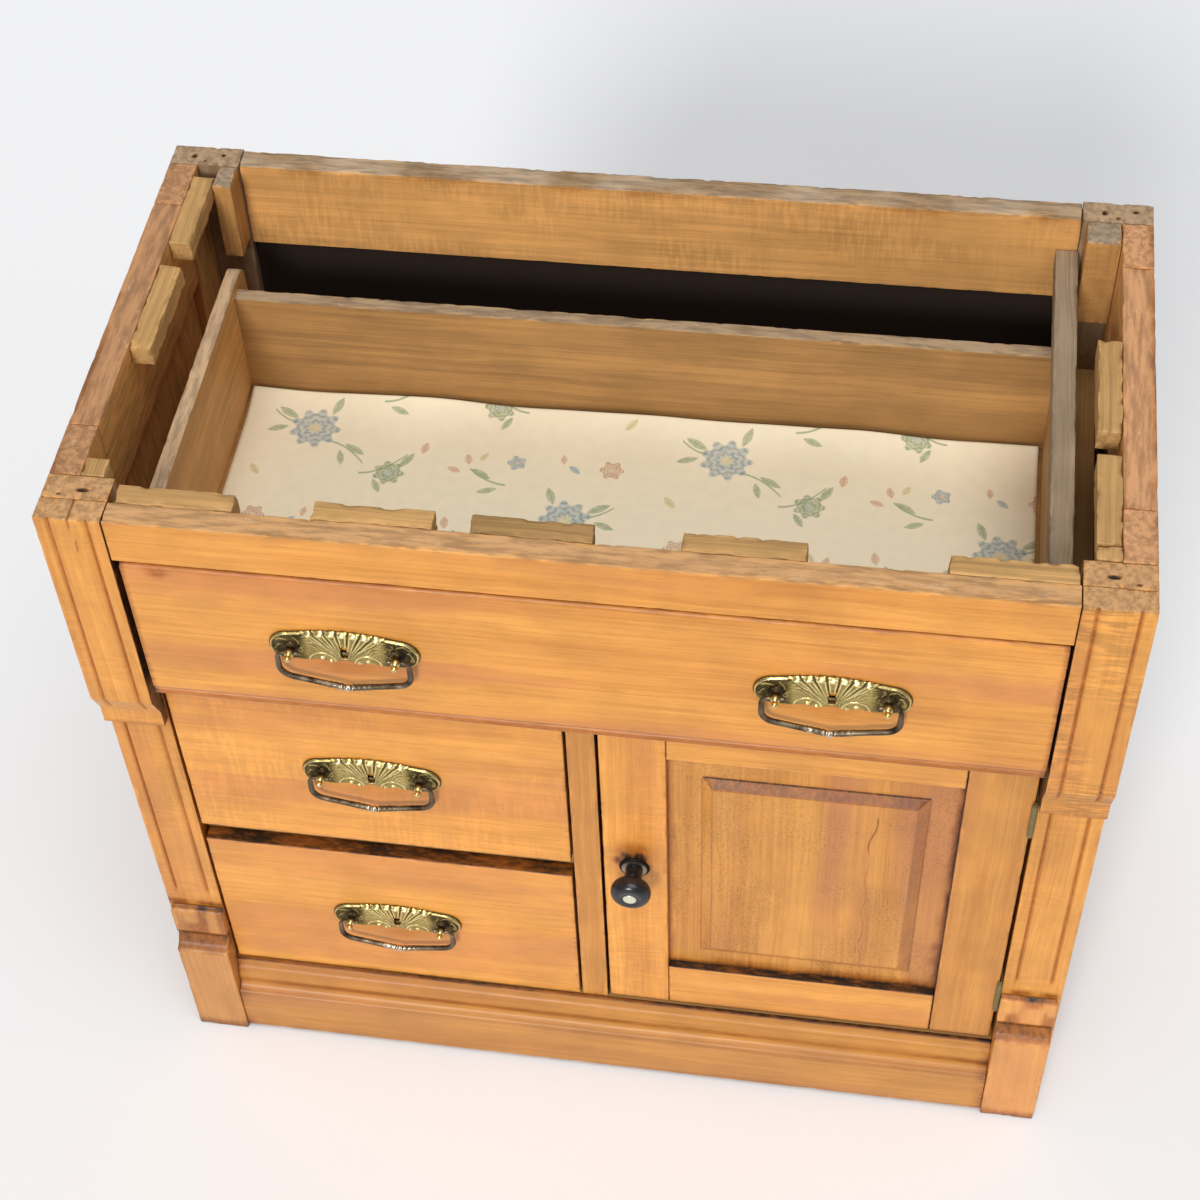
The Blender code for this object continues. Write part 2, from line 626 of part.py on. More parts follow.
def make_sides():
    """Two glued-up side frames with the blocks that held the top board, and a panel in each."""
    y = (FRAME_FRONT + FIT, FRAME_BACK - FIT)
    window_y = (y[0] + SIDE_STILE_WIDTH, y[1] - SIDE_STILE_WIDTH)
    window_z = (SIDE_BOTTOM_RAIL_LOW + SIDE_BOTTOM_RAIL_HEIGHT, BODY_HEIGHT - SIDE_TOP_RAIL_HEIGHT)
    groove_y = (window_y[0] - PANEL_SEAT, window_y[1] + PANEL_SEAT)
    groove_z = (window_z[0] - PANEL_SEAT, window_z[1] + PANEL_SEAT)
    middle = (HALF_WIDTH + SIDE_INNER) / 2
    half_groove = BOARD_THICK / 2 + FIT
    for side, word, runs in ((-1, "left", LEFT_BLOCK_SPANS), (1, "right", RIGHT_BLOCK_SPANS)):
        across = tuple(sorted((side * SIDE_INNER, side * HALF_WIDTH)))
        through = (across[0] - OVERRUN, across[1] + OVERRUN)
        groove_x = (side * middle - half_groove, side * middle + half_groove)
        block_x = tuple(sorted((side * (SIDE_INNER + BITE),
                                side * (SIDE_INNER - FIT - GLUE_BLOCK_WIDTH))))
        frame = place("side_frame_" + word, box_mesh([(across, y, (0, BODY_HEIGHT))]), "side_wood")
        cut(frame, as_cutter("side_window_" + word, box_mesh([
            (through, window_y, window_z),
            (through, window_y, (-OVERRUN, SIDE_BOTTOM_RAIL_LOW))])))
        cut(frame, as_cutter("side_groove_" + word, box_mesh([(groove_x, groove_y, groove_z)])))
        cut(frame, as_cutter("side_blocks_" + word, box_mesh([
            (block_x, (FRONT + start, FRONT + end), (BODY_HEIGHT - GLUE_BLOCK_HEIGHT, BODY_HEIGHT))
            for start, end in runs])), "UNION")
        place("side_panel_" + word, box_mesh([
            ((groove_x[0] + FIT, groove_x[1] - FIT), (groove_y[0] + FIT, groove_y[1] - FIT),
             (groove_z[0] + FIT, groove_z[1] - FIT))]), "side_wood")


def make_front_frame():
    """Rails, divider and moulded base board of the front, and the partition and floor behind."""
    between = (FIT - POST_INNER, POST_INNER - FIT)
    rail = place("front_top_rail", box_mesh([
        (between, (FRONT + TOP_RAIL_SETBACK, CASE_FACE),
         (BODY_HEIGHT - TOP_RAIL_HEIGHT, BODY_HEIGHT))]), "front_wood")
    cut(rail, as_cutter("front_blocks", box_mesh([
        ((middle - FRONT_BLOCK_LENGTH / 2, middle + FRONT_BLOCK_LENGTH / 2),
         (CASE_FACE - BITE, CASE_FACE + GLUE_BLOCK_WIDTH),
         (BODY_HEIGHT - GLUE_BLOCK_HEIGHT, BODY_HEIGHT))
        for middle in FRONT_BLOCK_MIDDLES])), "UNION")
    place("top_drawer_rail", box_mesh([
        (between, (CASE_FACE + FIT, CASE_FACE + BLADE_DEPTH),
         (TOP_FRONT_LOW, BLADE_TOP))]), "inner_wood")
    small_front = CASE_FACE + SMALL_RAIL_SETBACK
    small_back = small_front + SMALL_RAIL_DEPTH
    plan = [
        (FIT - POST_INNER, small_front), (DIVIDER_LEFT - FIT, small_front),
        (DIVIDER_LEFT - FIT, FRAME_FRONT + FIT), (PARTITION_LEFT - FIT, FRAME_FRONT + FIT),
        (PARTITION_LEFT - FIT, small_back), (FIT - POST_INNER, small_back)]
    place("small_drawer_rail", prism_mesh(plan, "Z", SMALL_RAIL_LOW, SMALL_RAIL_TOP), "inner_wood")
    place("divider_stile", box_mesh([
        ((DIVIDER_LEFT, DIVIDER_RIGHT), (CASE_FACE, FRAME_FRONT),
         (BASE_HEIGHT + FIT, TOP_FRONT_LOW - FIT))]), "front_wood")
    place("bottom_rail", box_mesh([
        (between, (CASE_FACE + FIT, FRAME_FRONT),
         (BASE_HEIGHT - BOTTOM_RAIL_HEIGHT, BASE_HEIGHT))]), "inner_wood")

    face = FRONT + BASE_BOARD_SETBACK
    cove_centre = (face, BASE_FACE_TOP + BASE_COVE_RADIUS)
    fillet_y = face + BASE_COVE_RADIUS
    fillet_z = BASE_FACE_TOP + BASE_COVE_RADIUS + BASE_FILLET
    ovolo = CASE_FACE - BASE_FILLET - fillet_y
    outline = [(CASE_FACE, BASE_BOARD_LIFT), (face, BASE_BOARD_LIFT)]
    outline += arc(cove_centre, BASE_COVE_RADIUS, -90, 0)
    outline.append((fillet_y, fillet_z))
    for step in range(1, ARC_STEPS + 1):
        turn = math.radians(90) * step / ARC_STEPS
        outline.append((fillet_y + ovolo * (1 - math.cos(turn)),
                        fillet_z + (BASE_OVOLO_TOP - fillet_z) * math.sin(turn)))
    outline += [(CASE_FACE - BASE_FILLET, BASE_HEIGHT), (CASE_FACE, BASE_HEIGHT)]
    place("base_board", prism_mesh(outline, "X", *between), "front_wood")

    depth = (FRAME_FRONT + FIT, FRAME_BACK - FIT)
    partition = place("partition", box_mesh([
        ((PARTITION_LEFT, PARTITION_RIGHT), depth,
         (BASE_HEIGHT + FIT, TOP_FRONT_LOW - FIT))]), "inner_wood")
    runner_left = DIVIDER_LEFT - REVEAL - DRAWER_SIDE_THICK - RUNNER_TUCK
    cut(partition, as_cutter("partition_runner", box_mesh([
        ((runner_left, PARTITION_LEFT + BITE), (small_back + FIT, depth[1]),
         (SMALL_RAIL_TOP - RUNNER_THICK, SMALL_RAIL_TOP))])), "UNION")
    wall = SIDE_INNER - FIT
    guide = POST_INNER + GUIDE_SETBACK
    place("cupboard_floor", prism_mesh([
        (BASE_HEIGHT - FLOOR_THICK, -wall), (BASE_HEIGHT + GUIDE_HEIGHT, -wall),
        (BASE_HEIGHT + GUIDE_HEIGHT, -guide), (BASE_HEIGHT, -guide), (BASE_HEIGHT, wall),
        (BASE_HEIGHT - FLOOR_THICK, wall)], "Y", *depth), "inner_wood")


def runner_outline(top, side, inner):
    """End view of a runner with its guide, as (z, x) pairs."""
    wall = side * (SIDE_INNER - FIT)
    guide = side * (POST_INNER + GUIDE_SETBACK)
    return [(top - RUNNER_THICK, wall), (top + GUIDE_HEIGHT, wall), (top + GUIDE_HEIGHT, guide),
            (top, guide), (top, inner), (top - RUNNER_THICK, inner)]


def make_runners():
    """Bars that the drawers' sides run on, each with its guide, and the kicker above."""
    tuck = DRAWER_SIDE_THICK + RUNNER_TUCK
    rear = FRAME_BACK - FIT
    for side, word, gap in ((-1, "left", TOP_FRONT_GAP_LEFT), (1, "right", TOP_FRONT_GAP_RIGHT)):
        outline = runner_outline(BLADE_TOP, side, side * (POST_INNER - gap - tuck))
        place("top_runner_" + word, prism_mesh(
            outline, "Y", CASE_FACE + BLADE_DEPTH + FIT, rear), "inner_wood")
    start = CASE_FACE + SMALL_RAIL_SETBACK + SMALL_RAIL_DEPTH + FIT
    place("small_drawer_runner", prism_mesh(
        runner_outline(SMALL_RAIL_TOP, -1, REVEAL + tuck - POST_INNER), "Y", start, rear),
        "inner_wood")
    place("kicker", box_mesh([
        ((KICKER_RIGHT - KICKER_WIDTH, KICKER_RIGHT), (CASE_FACE + FIT, rear),
         (KICKER_TOP - KICKER_HEIGHT, KICKER_TOP))]), "raw_edge")


# Drawers


def tail_steps(shoulder, tip, low, high, count, grow=0):
    """The dovetails at a drawer side's front end, each as (shoulder low, tip low, tip high,
    shoulder high) in side view. They widen towards the front."""
    pitch = (high - low) / count
    root = pitch * TAIL_ROOT_SHARE / 2 + grow
    end = pitch * TAIL_TIP_SHARE / 2 + grow
    tails = []
    for index in range(count):
        middle = low + pitch * (2 * index + 1) / 2
        tails.append([(shoulder, middle - root), (tip, middle - end),
                      (tip, middle + end), (shoulder, middle + root)])
    return tails


def make_drawer(prefix, home, edges, face, side_z, side_length, back_inset, front, tails):
    """A drawer behind a front that is given: sides dovetailed to it, a back between them, and a
    bottom in grooves. edges are the front's two ends, and side_z the sides' lowest and highest.
    The top drawer's sides and back are loose pieces, and a small drawer's are one glued box."""
    inner = (edges[0] + DRAWER_SIDE_THICK, edges[1] - DRAWER_SIDE_THICK)
    front_back = face + DRAWER_FRONT_THICK
    shoulder = front_back + FIT
    tip = face + DRAWER_LAP + FIT
    end = face + side_length
    low, high = side_z
    bottom = (low + DRAWER_BOTTOM_LIFT, low + DRAWER_BOTTOM_LIFT + DRAWER_BOTTOM_THICK)
    bottom_cut = (bottom[0] - FIT, bottom[1] + FIT)
    back_y = (end - back_inset - DRAWER_BACK_THICK, end - back_inset)
    back_z = (bottom[1] + FIT, high - BACK_DROP)

    sockets = []
    for outer, inside in ((edges[0] - OVERRUN, inner[0] + FIT), (inner[1] - FIT, edges[1] + OVERRUN)):
        for tail in tail_steps(shoulder, tip - FIT, low, high, tails, FIT):
            mouth = [(shoulder + OVERRUN, tail[3][1]), (shoulder + OVERRUN, tail[0][1])]
            sockets.append(prism_mesh(tail + mouth, "X", outer, inside))
    cut(front, as_cutter(prefix + "_sockets", joined(sockets)))
    cut(front, as_cutter(prefix + "_front_groove", box_mesh([
        ((inner[0] - DRAWER_GROOVE_DEPTH, inner[1] + DRAWER_GROOVE_DEPTH),
         (front_back - DRAWER_GROOVE_DEPTH, front_back + OVERRUN), bottom_cut)])))

    outline = [(end, low), (shoulder, low)]
    for tail in tail_steps(shoulder, tip, low, high, tails):
        outline += tail
    outline.append((shoulder, high))
    outline += arc((end - SIDE_END_RADIUS, high - SIDE_END_RADIUS), SIDE_END_RADIUS, 90, 0)
    left = prism_mesh(outline, "X", edges[0], inner[0])
    right = prism_mesh(outline, "X", inner[1], edges[1])
    run = (tip - OVERRUN, end + OVERRUN)
    grooves = as_cutter(prefix + "_side_grooves", box_mesh([
        ((inner[0] - DRAWER_GROOVE_DEPTH, inner[0] + OVERRUN), run, bottom_cut),
        ((inner[1] - OVERRUN, inner[1] + DRAWER_GROOVE_DEPTH), run, bottom_cut)]))
    if prefix == "top_drawer":
        dado = (back_y[0] - FIT, back_y[1] + FIT)
        dado_z = (bottom[0], high + OVERRUN)
        dadoes = as_cutter(prefix + "_dadoes", box_mesh([
            ((inner[0] - DRAWER_DADO_DEPTH, inner[0] + OVERRUN), dado, dado_z),
            ((inner[1] - OVERRUN, inner[1] + DRAWER_DADO_DEPTH), dado, dado_z)]))
        for word, mesh in (("_side_left", left), ("_side_right", right)):
            side = place(prefix + word, mesh, "inner_wood", home)
            cut(cut(side, grooves), dadoes)
        seat = DRAWER_DADO_DEPTH - FIT
        place(prefix + "_back", box_mesh([((inner[0] - seat, inner[1] + seat), back_y, back_z)]),
              "inner_wood", home)
    else:
        box = place(prefix + "_box", box_mesh([
            ((inner[0] - BITE, inner[1] + BITE), back_y, back_z)]), "inner_wood", home)
        cut(box, as_cutter(prefix + "_box_sides", joined([left, right])), "UNION")
        cut(box, grooves)
    place(prefix + "_bottom", box_mesh([
        ((inner[0] - DRAWER_GROOVE_DEPTH + FIT, inner[1] + DRAWER_GROOVE_DEPTH - FIT),
         (front_back - DRAWER_GROOVE_DEPTH + FIT, back_y[1]), bottom)]), "inner_wood", home)
    return inner, front_back, back_y[0], bottom[1]


def make_liner(home, inner, start, end, floor):
    """A sheet of lining paper on the drawer's bottom. Its back edge curls up against the back."""
    width = inner[1] - inner[0] - 2 * LINER_MARGIN
    depth = end - start - FIT - LINER_MARGIN
    shape = bmesh.new()
    matrix = Matrix.Translation(((inner[0] + inner[1]) / 2, (start + end) / 2, floor + FIT))
    bmesh.ops.create_grid(shape, x_segments=1, y_segments=14, size=1 / 2,
                          matrix=matrix @ Matrix.Diagonal((width, depth, 1, 1)))
    for vertex in shape.verts:
        past = vertex.co.y - (end - LINER_MARGIN - LINER_CURL_REACH)
        vertex.co.z += LINER_CURL * max(0, past / LINER_CURL_REACH) ** 2
    maker = bpy.data.objects.new("sheet", mesh_from(shape))
    wall = maker.modifiers.new("paper", "SOLIDIFY")
    wall.thickness = LINER_THICK
    wall.offset = 1.0
    place("drawer_liner", evaluated_mesh(maker), "paper", home)


def top_front_outline():
    """Side view of the top drawer's front: rounded upper edge, and a quirk and nose below."""
    rear = FRONT + DRAWER_FRONT_THICK
    rounding = (FRONT + FRONT_TOP_RADIUS, TOP_FRONT_HIGH - FRONT_TOP_RADIUS)
    nose_top = TOP_FRONT_LOW + 2 * NOSE_RADIUS
    outline = [(rear, TOP_FRONT_HIGH)]
    outline += arc(rounding, FRONT_TOP_RADIUS, 90, 180)
    outline += [(FRONT, nose_top + NOSE_QUIRK), (FRONT + NOSE_QUIRK, nose_top)]
    outline += arc((FRONT + NOSE_RADIUS, TOP_FRONT_LOW + NOSE_RADIUS), NOSE_RADIUS, 120, 270)
    outline.append((rear, TOP_FRONT_LOW))
    return outline


def make_drawers():
    """All three drawers with their pulls."""
    home = joint_home("top_drawer_slide", (0, FRONT, TOP_FRONT_LOW))
    edges = (TOP_FRONT_GAP_LEFT - POST_INNER, POST_INNER - TOP_FRONT_GAP_RIGHT)
    side_z = (BLADE_TOP + FIT, TOP_FRONT_HIGH - TOP_SIDE_DROP)
    front = place("top_drawer_front", prism_mesh(top_front_outline(), "X", *edges), "front_wood",
                  home)
    liner_bed = make_drawer("top_drawer", home, edges, FRONT, side_z, TOP_SIDE_LENGTH,
                            TOP_BACK_INSET, front, TOP_TAIL_COUNT)
    make_liner(home, *liner_bed)
    for side, word in ((-1, "left"), (1, "right")):
        middle = TOP_PULL_SHIFT + side * TOP_PULL_HALF_SPACING
        make_pull("top_pull_" + word, "top_bail_" + word, home, middle, FRONT, TOP_PULL_HEIGHT,
                  "top_drawer_front")

    edges = (REVEAL - POST_INNER, DIVIDER_LEFT - REVEAL)
    middle = (edges[0] + edges[1]) / 2
    for word, low, high, pull_z in (
            ("upper", UPPER_FRONT_LOW, UPPER_FRONT_HIGH, UPPER_PULL_HEIGHT),
            ("lower", LOWER_FRONT_LOW, LOWER_FRONT_HIGH, LOWER_PULL_HEIGHT)):
        home = joint_home(word + "_drawer_slide", (middle, CASE_FACE, low))
        prefix = word + "_drawer"
        front = place(prefix + "_front", box_mesh([
            (edges, (CASE_FACE, CASE_FACE + DRAWER_FRONT_THICK), (low, high))]), "front_wood", home)
        ease_edges(front, FRONT_EDGE_BEVEL)
        make_drawer(prefix, home, edges, CASE_FACE, (low, high - SMALL_SIDE_DROP),
                    SMALL_SIDE_LENGTH, SMALL_BACK_INSET, front, SMALL_TAIL_COUNT)
        make_pull(word + "_pull", word + "_bail", home, middle, CASE_FACE, pull_z,
                  prefix + "_front")


# Pulls


def plate_upper(x):
    """Upper edge of a pull's plate: a shallow crown between two round lobes."""
    lobe_middle = PULL_HALF_WIDTH - PULL_LOBE_RADIUS
    past = max(0, abs(x) - lobe_middle)
    lobe = math.sqrt(max(0, PULL_LOBE_RADIUS ** 2 - past ** 2))
    reach = min(1, abs(x) / lobe_middle)
    return lobe + PULL_CROWN * math.cos(reach * math.pi / 2)


def plate_lower(x):
    """Lower edge: two scrolls that rise in the middle and between scroll and lobe."""
    lobe_middle = PULL_HALF_WIDTH - PULL_LOBE_RADIUS
    past = max(0, abs(x) - lobe_middle)
    lobe = math.sqrt(max(0, PULL_LOBE_RADIUS ** 2 - past ** 2))
    reach = min(1, abs(x) / lobe_middle)
    return PULL_SCROLL_RISE * math.cos(2 * math.pi * reach) ** 2 * (1 - reach) - lobe


def plate_relief(x, z, rim):
    """How far the plate's face stands out: a raised rim, flutes that spread from the lower
    middle, and flat seats round the posts. rim is 0 at the edge and 1 a rim's width inside."""
    fan_z = z + PULL_LOBE_RADIUS
    angle = math.atan2(x, fan_z)
    far = math.hypot(x, fan_z) / (2 * PULL_LOBE_RADIUS)
    flute = PULL_FLUTE_DEPTH * math.cos(angle * FLUTE_COUNT * 2) * min(1, far)
    seat = min(1, math.hypot(abs(x) - PULL_HALF_SPACING, z) / (2 * POST_FLANGE_RADIUS))
    flat = 0 if seat < 1 / 2 + 1 / PLATE_ROWS else 1
    crown = PULL_RELIEF - PULL_FLUTE_DEPTH
    return (crown + flute * flat) * rim


def plate_mesh(x_middle, face, z_middle):
    """A stamped plate: a grid stretched between the lower and upper edge, pressed forward by
    its relief, and given the sheet's thickness."""
    shape = bmesh.new()
    bmesh.ops.create_grid(shape, x_segments=PLATE_COLUMNS, y_segments=PLATE_ROWS, size=1)
    for vertex in shape.verts:
        # The outermost columns stop just short of the lobes' ends, so that they keep some height
        x = PULL_HALF_WIDTH * math.sin(vertex.co.x * PLATE_END_SHARE * math.pi / 2)
        share = (vertex.co.y + 1) / 2
        low, high = plate_lower(x), plate_upper(x)
        z = low + (high - low) * share
        inside = min(z - low, high - z, PULL_HALF_WIDTH - abs(x))
        rim = min(1, inside / PULL_RIM)
        y = face - FIT - plate_relief(x, z, rim)
        vertex.co = (x_middle + x, y, z_middle + z)
    maker = bpy.data.objects.new("plate", mesh_from(shape))
    wall = maker.modifiers.new("sheet", "SOLIDIFY")
    wall.thickness = PULL_PLATE_THICK
    wall.offset = 1.0
    wall.use_even_offset = False
    return evaluated_mesh(maker)


def post_profile(stem):
    """Outer side of a pull's post, from its tip to the end of its stem, along Z outwards."""
    profile = [(0, POST_TIP_REACH + POST_TIP_RADIUS)]
    profile += ball_side(POST_TIP_REACH, POST_TIP_RADIUS, 70, -40)
    profile += ball_side(POST_BALL_REACH, POST_BALL_RADIUS, 50, -50)
    sunk = -PULL_PLATE_THICK / 2
    profile += [(POST_NECK_RADIUS, POST_FLANGE_THICK), (POST_FLANGE_RADIUS, POST_FLANGE_THICK),
                (POST_FLANGE_RADIUS, sunk), (POST_STEM_RADIUS, sunk), (POST_STEM_RADIUS, -stem),
                (0, -stem)]
    return profile


def ball_side(height, radius, start, end):
    """Points down the side of a ball, from one latitude to another, in degrees."""
    return [(across, height + up) for across, up in arc((0, 0), radius, start, end, BALL_STEPS)]


def rounded_path(corners, radii, steps=ARC_STEPS):
    """A line through corner points with an arc of the given radius at each inner corner."""
    path = [Vector(corners[0])]
    for before, corner, after, radius in zip(corners, corners[1:], corners[2:], radii):
        corner = Vector(corner)
        back = (Vector(before) - corner).normalized()
        ahead = (Vector(after) - corner).normalized()
        half = back.angle(ahead) / 2
        centre = corner + (back + ahead).normalized() * radius / math.sin(half)
        start = (corner + back * radius / math.tan(half) - centre).normalized()
        finish = (corner + ahead * radius / math.tan(half) - centre).normalized()
        for step in range(steps + 1):
            path.append(centre + radius * start.slerp(finish, step / steps))
    path.append(Vector(corners[-1]))
    return path


def bail_mesh(x_middle, y, z):
    """A hanging bail: ends through the posts, square shoulders, and a shallow V below with a
    bead in its middle. It hangs from the posts' axis at height z."""
    stub = PULL_HALF_SPACING - BAIL_END_STUB
    corners = [(stub, y, 0), (BAIL_HALF_WIDTH, y, 0), (BAIL_HALF_WIDTH, y, -BAIL_CORNER_DROP),
               (0, y, -BAIL_DROP)]
    half = rounded_path(corners, (BAIL_SHOULDER_RADIUS, BAIL_CORNER_RADIUS))
    bead = POST_BALL_RADIUS
    half.insert(-1, half[-2].lerp(half[-1], 1 - bead / (half[-1] - half[-2]).length))
    half.insert(1, Vector((PULL_HALF_SPACING + POST_BALL_RADIUS + FIT, y, 0)))
    radii = [BAIL_END_RADIUS, BAIL_END_RADIUS] + [BAIL_WIRE_RADIUS] * (len(half) - 3)
    radii.append(BAIL_WIRE_RADIUS * BAIL_BEAD_SHARE)
    other = [Vector((-point.x, point.y, point.z)) for point in reversed(half[:-1])]
    path = [point + Vector((x_middle, 0, z)) for point in half + other]
    return wire_mesh(path, radii + radii[-2::-1])


def make_pull(name, bail_name, home, x, face, z, front_name):
    """A plate with its two posts, their stems and nuts as one body, and a bail through them."""
    seat = face - PULL_SEAT
    stem = DRAWER_FRONT_THICK + PULL_SEAT + NUT_THICK + 2 * FIT
    axis_y = seat - POST_BALL_REACH
    nut_y = face + DRAWER_FRONT_THICK + FIT + NUT_THICK / 2
    front_y = face + DRAWER_FRONT_THICK / 2
    posts, nuts, bores, holes = [], [], [], []
    for side in (-1, 1):
        post_x = x + side * PULL_HALF_SPACING
        post = turned_mesh(post_profile(stem), TURN_STEPS)
        post.transform(Matrix.Translation((post_x, seat, z)) @ FACE_FORWARD)
        posts.append(post)
        nuts.append(rod_mesh((post_x, nut_y, z), "Y", NUT_RADIUS, NUT_THICK, 6))
        bores.append(rod_mesh((post_x, axis_y, z), "X", BAIL_END_RADIUS + FIT, 4 * POST_BALL_RADIUS))
        holes.append(rod_mesh((post_x, front_y, z), "Y", POST_STEM_RADIUS + STEM_PLAY,
                              DRAWER_FRONT_THICK + 2 * OVERRUN))
    pull = place(name, plate_mesh(x, face, z), "stamped_brass", home)
    cut(pull, as_cutter(name + "_keyhole", box_mesh([
        ((x - KEYHOLE_WIDTH / 2, x + KEYHOLE_WIDTH / 2), (seat - 2 * OVERRUN, face + OVERRUN),
         (z + KEYHOLE_TOP - KEYHOLE_HEIGHT, z + KEYHOLE_TOP))])))
    cut(pull, as_cutter(name + "_posts", joined(posts)), "UNION")
    cut(pull, as_cutter(name + "_nuts", joined(nuts)), "UNION")
    cut(pull, as_cutter(name + "_bores", joined(bores)))
    cut(bpy.data.objects[front_name], as_cutter(name + "_stem_holes", joined(holes)))
    pivot = joint_home(bail_name + "_pivot", (x, axis_y, z), home)
    place(bail_name, bail_mesh(x, axis_y, z), "dark_bronze", pivot)


# Door


def make_door():
    """Framed door with a raised panel, its hinges, knob and catch."""
    home = joint_home("door_hinge", (PIN_X, PIN_Y, DOOR_LOW))
    depth = (CASE_FACE, DOOR_BACK)
    groove_y = (CASE_FACE + DOOR_PANEL_INSET, CASE_FACE + DOOR_PANEL_INSET + DOOR_PANEL_EDGE)
    seat_y = (groove_y[0] + FIT, groove_y[1] - FIT)
    left_inner = DOOR_LEFT + DOOR_STILE_WIDTH
    right_inner = DOOR_RIGHT - DOOR_STILE_WIDTH
    bottom_high = DOOR_LOW + DOOR_BOTTOM_RAIL_HEIGHT
    top_low = DOOR_HIGH - DOOR_TOP_RAIL_HEIGHT

    whole = (DOOR_LOW - OVERRUN, DOOR_HIGH + OVERRUN)
    left = place("door_stile_left", box_mesh([
        ((DOOR_LEFT, left_inner), depth, (DOOR_LOW, DOOR_HIGH))]), "front_wood", home)
    cut(left, as_cutter("door_groove_left", box_mesh([
        ((left_inner - PANEL_SEAT, left_inner + OVERRUN), groove_y, whole)])))
    cut(left, as_cutter("spindle_bore", rod_mesh(
        (KNOB_X, CASE_FACE + DOOR_THICK / 2, KNOB_HEIGHT), "Y", SPINDLE_RADIUS + SPINDLE_PLAY,
        DOOR_THICK + 2 * OVERRUN)))
    right = place("door_stile_right", box_mesh([
        ((right_inner, DOOR_RIGHT), depth, (DOOR_LOW, DOOR_HIGH))]), "front_wood", home)
    cut(right, as_cutter("door_groove_right", box_mesh([
        ((right_inner - OVERRUN, right_inner + PANEL_SEAT), groove_y, whole)])))
    leaf_x = (DOOR_RIGHT - 2 * FIT - HINGE_LEAF_THICK, DOOR_RIGHT + OVERRUN)
    mortises = []
    for middle in HINGE_MIDDLES:
        reach = HINGE_HEIGHT / 2 + FIT
        mortises.append((leaf_x, (CASE_FACE - OVERRUN, PIN_Y + HINGE_LEAF_REACH + FIT),
                         (middle - reach, middle + reach)))
    cut(right, as_cutter("hinge_mortises", box_mesh(mortises)))

    body = (left_inner + FIT, right_inner - FIT)
    tongue = (left_inner - PANEL_SEAT + FIT, right_inner + PANEL_SEAT - FIT)
    run = (tongue[0] - OVERRUN, tongue[1] + OVERRUN)
    for name, span, groove_z in (
            ("door_rail_bottom", (DOOR_LOW, bottom_high),
             (bottom_high - PANEL_SEAT, bottom_high + OVERRUN)),
            ("door_rail_top", (top_low, DOOR_HIGH), (top_low - OVERRUN, top_low + PANEL_SEAT))):
        rail = place(name, box_mesh([(body, depth, span)]), "front_wood", home)
        cut(rail, as_cutter(name + "_tongues", box_mesh([(tongue, seat_y, span)])), "UNION")
        cut(rail, as_cutter(name + "_groove", box_mesh([(run, groove_y, groove_z)])))

    panel = box_mesh([(tongue, seat_y, (bottom_high - PANEL_SEAT + FIT,
                                        top_low + PANEL_SEAT - FIT))])
    shape = bmesh.new()
    shape.from_mesh(panel)
    front = [face for face in shape.faces if face.normal.y < -1 / 2]
    bmesh.ops.inset_region(shape, faces=front, thickness=PANEL_SEAT + FIELD_MARGIN)
    bmesh.ops.inset_region(shape, faces=front, thickness=FIELD_BEVEL, depth=FIELD_RISE)
    shape.to_mesh(panel)
    shape.free()
    place("door_panel", panel, "figured_wood", home)
    make_hinges(home)
    make_knob(home)


def make_hinges(home):
    """Two butt hinges: a leaf on the post, and a leaf let into the door, whose knuckle carries
    the pin."""
    half = HINGE_HEIGHT / 2
    segment = HINGE_HEIGHT / KNUCKLE_COUNT
    leaf_y = (PIN_Y, PIN_Y + HINGE_LEAF_REACH)
    head = half + FIT + PIN_HEAD_HEIGHT
    profile = [(0, head), (PIN_HEAD_RADIUS, head), (PIN_HEAD_RADIUS, half + FIT),
               (HINGE_PIN_RADIUS, half + FIT), (HINGE_PIN_RADIUS, -half), (0, -half)]
    for word, middle in zip(("lower", "upper"), HINGE_MIDDLES):
        post_knuckles, door_knuckles, post_clear, door_clear = [], [], [], []
        for index in range(KNUCKLE_COUNT):
            centre = (PIN_X, PIN_Y, middle - half + segment * (2 * index + 1) / 2)
            knuckle = rod_mesh(centre, "Z", HINGE_RADIUS, segment - FIT)
            clear = rod_mesh(centre, "Z", HINGE_RADIUS + FIT, segment + FIT)
            if index % 2 == 0:
                post_knuckles.append(knuckle)
                door_clear.append(clear)
            else:
                door_knuckles.append(knuckle)
                post_clear.append(clear)
        pin = turned_mesh(profile, TURN_STEPS)
        pin.transform(Matrix.Translation((PIN_X, PIN_Y, middle)))
        bore = rod_mesh((PIN_X, PIN_Y, middle), "Z", HINGE_PIN_RADIUS + FIT,
                        HINGE_HEIGHT + 2 * OVERRUN)
        for name, face_x, knuckles, clear, core, operation, where in (
                ("hinge_post_leaf_", POST_INNER - FIT, post_knuckles, post_clear, bore,
                 "DIFFERENCE", None),
                ("hinge_door_leaf_", DOOR_RIGHT - FIT, door_knuckles, door_clear, pin,
                 "UNION", home)):
            name += word
            leaf = place(name, box_mesh([
                ((face_x - HINGE_LEAF_THICK, face_x), leaf_y, (middle - half, middle + half))]),
                "aged_brass", where)
            cut(leaf, as_cutter(name + "_clearance", joined(clear)))
            cut(leaf, as_cutter(name + "_knuckles", joined(knuckles)), "UNION")
            cut(leaf, as_cutter(name + "_core", core), operation)


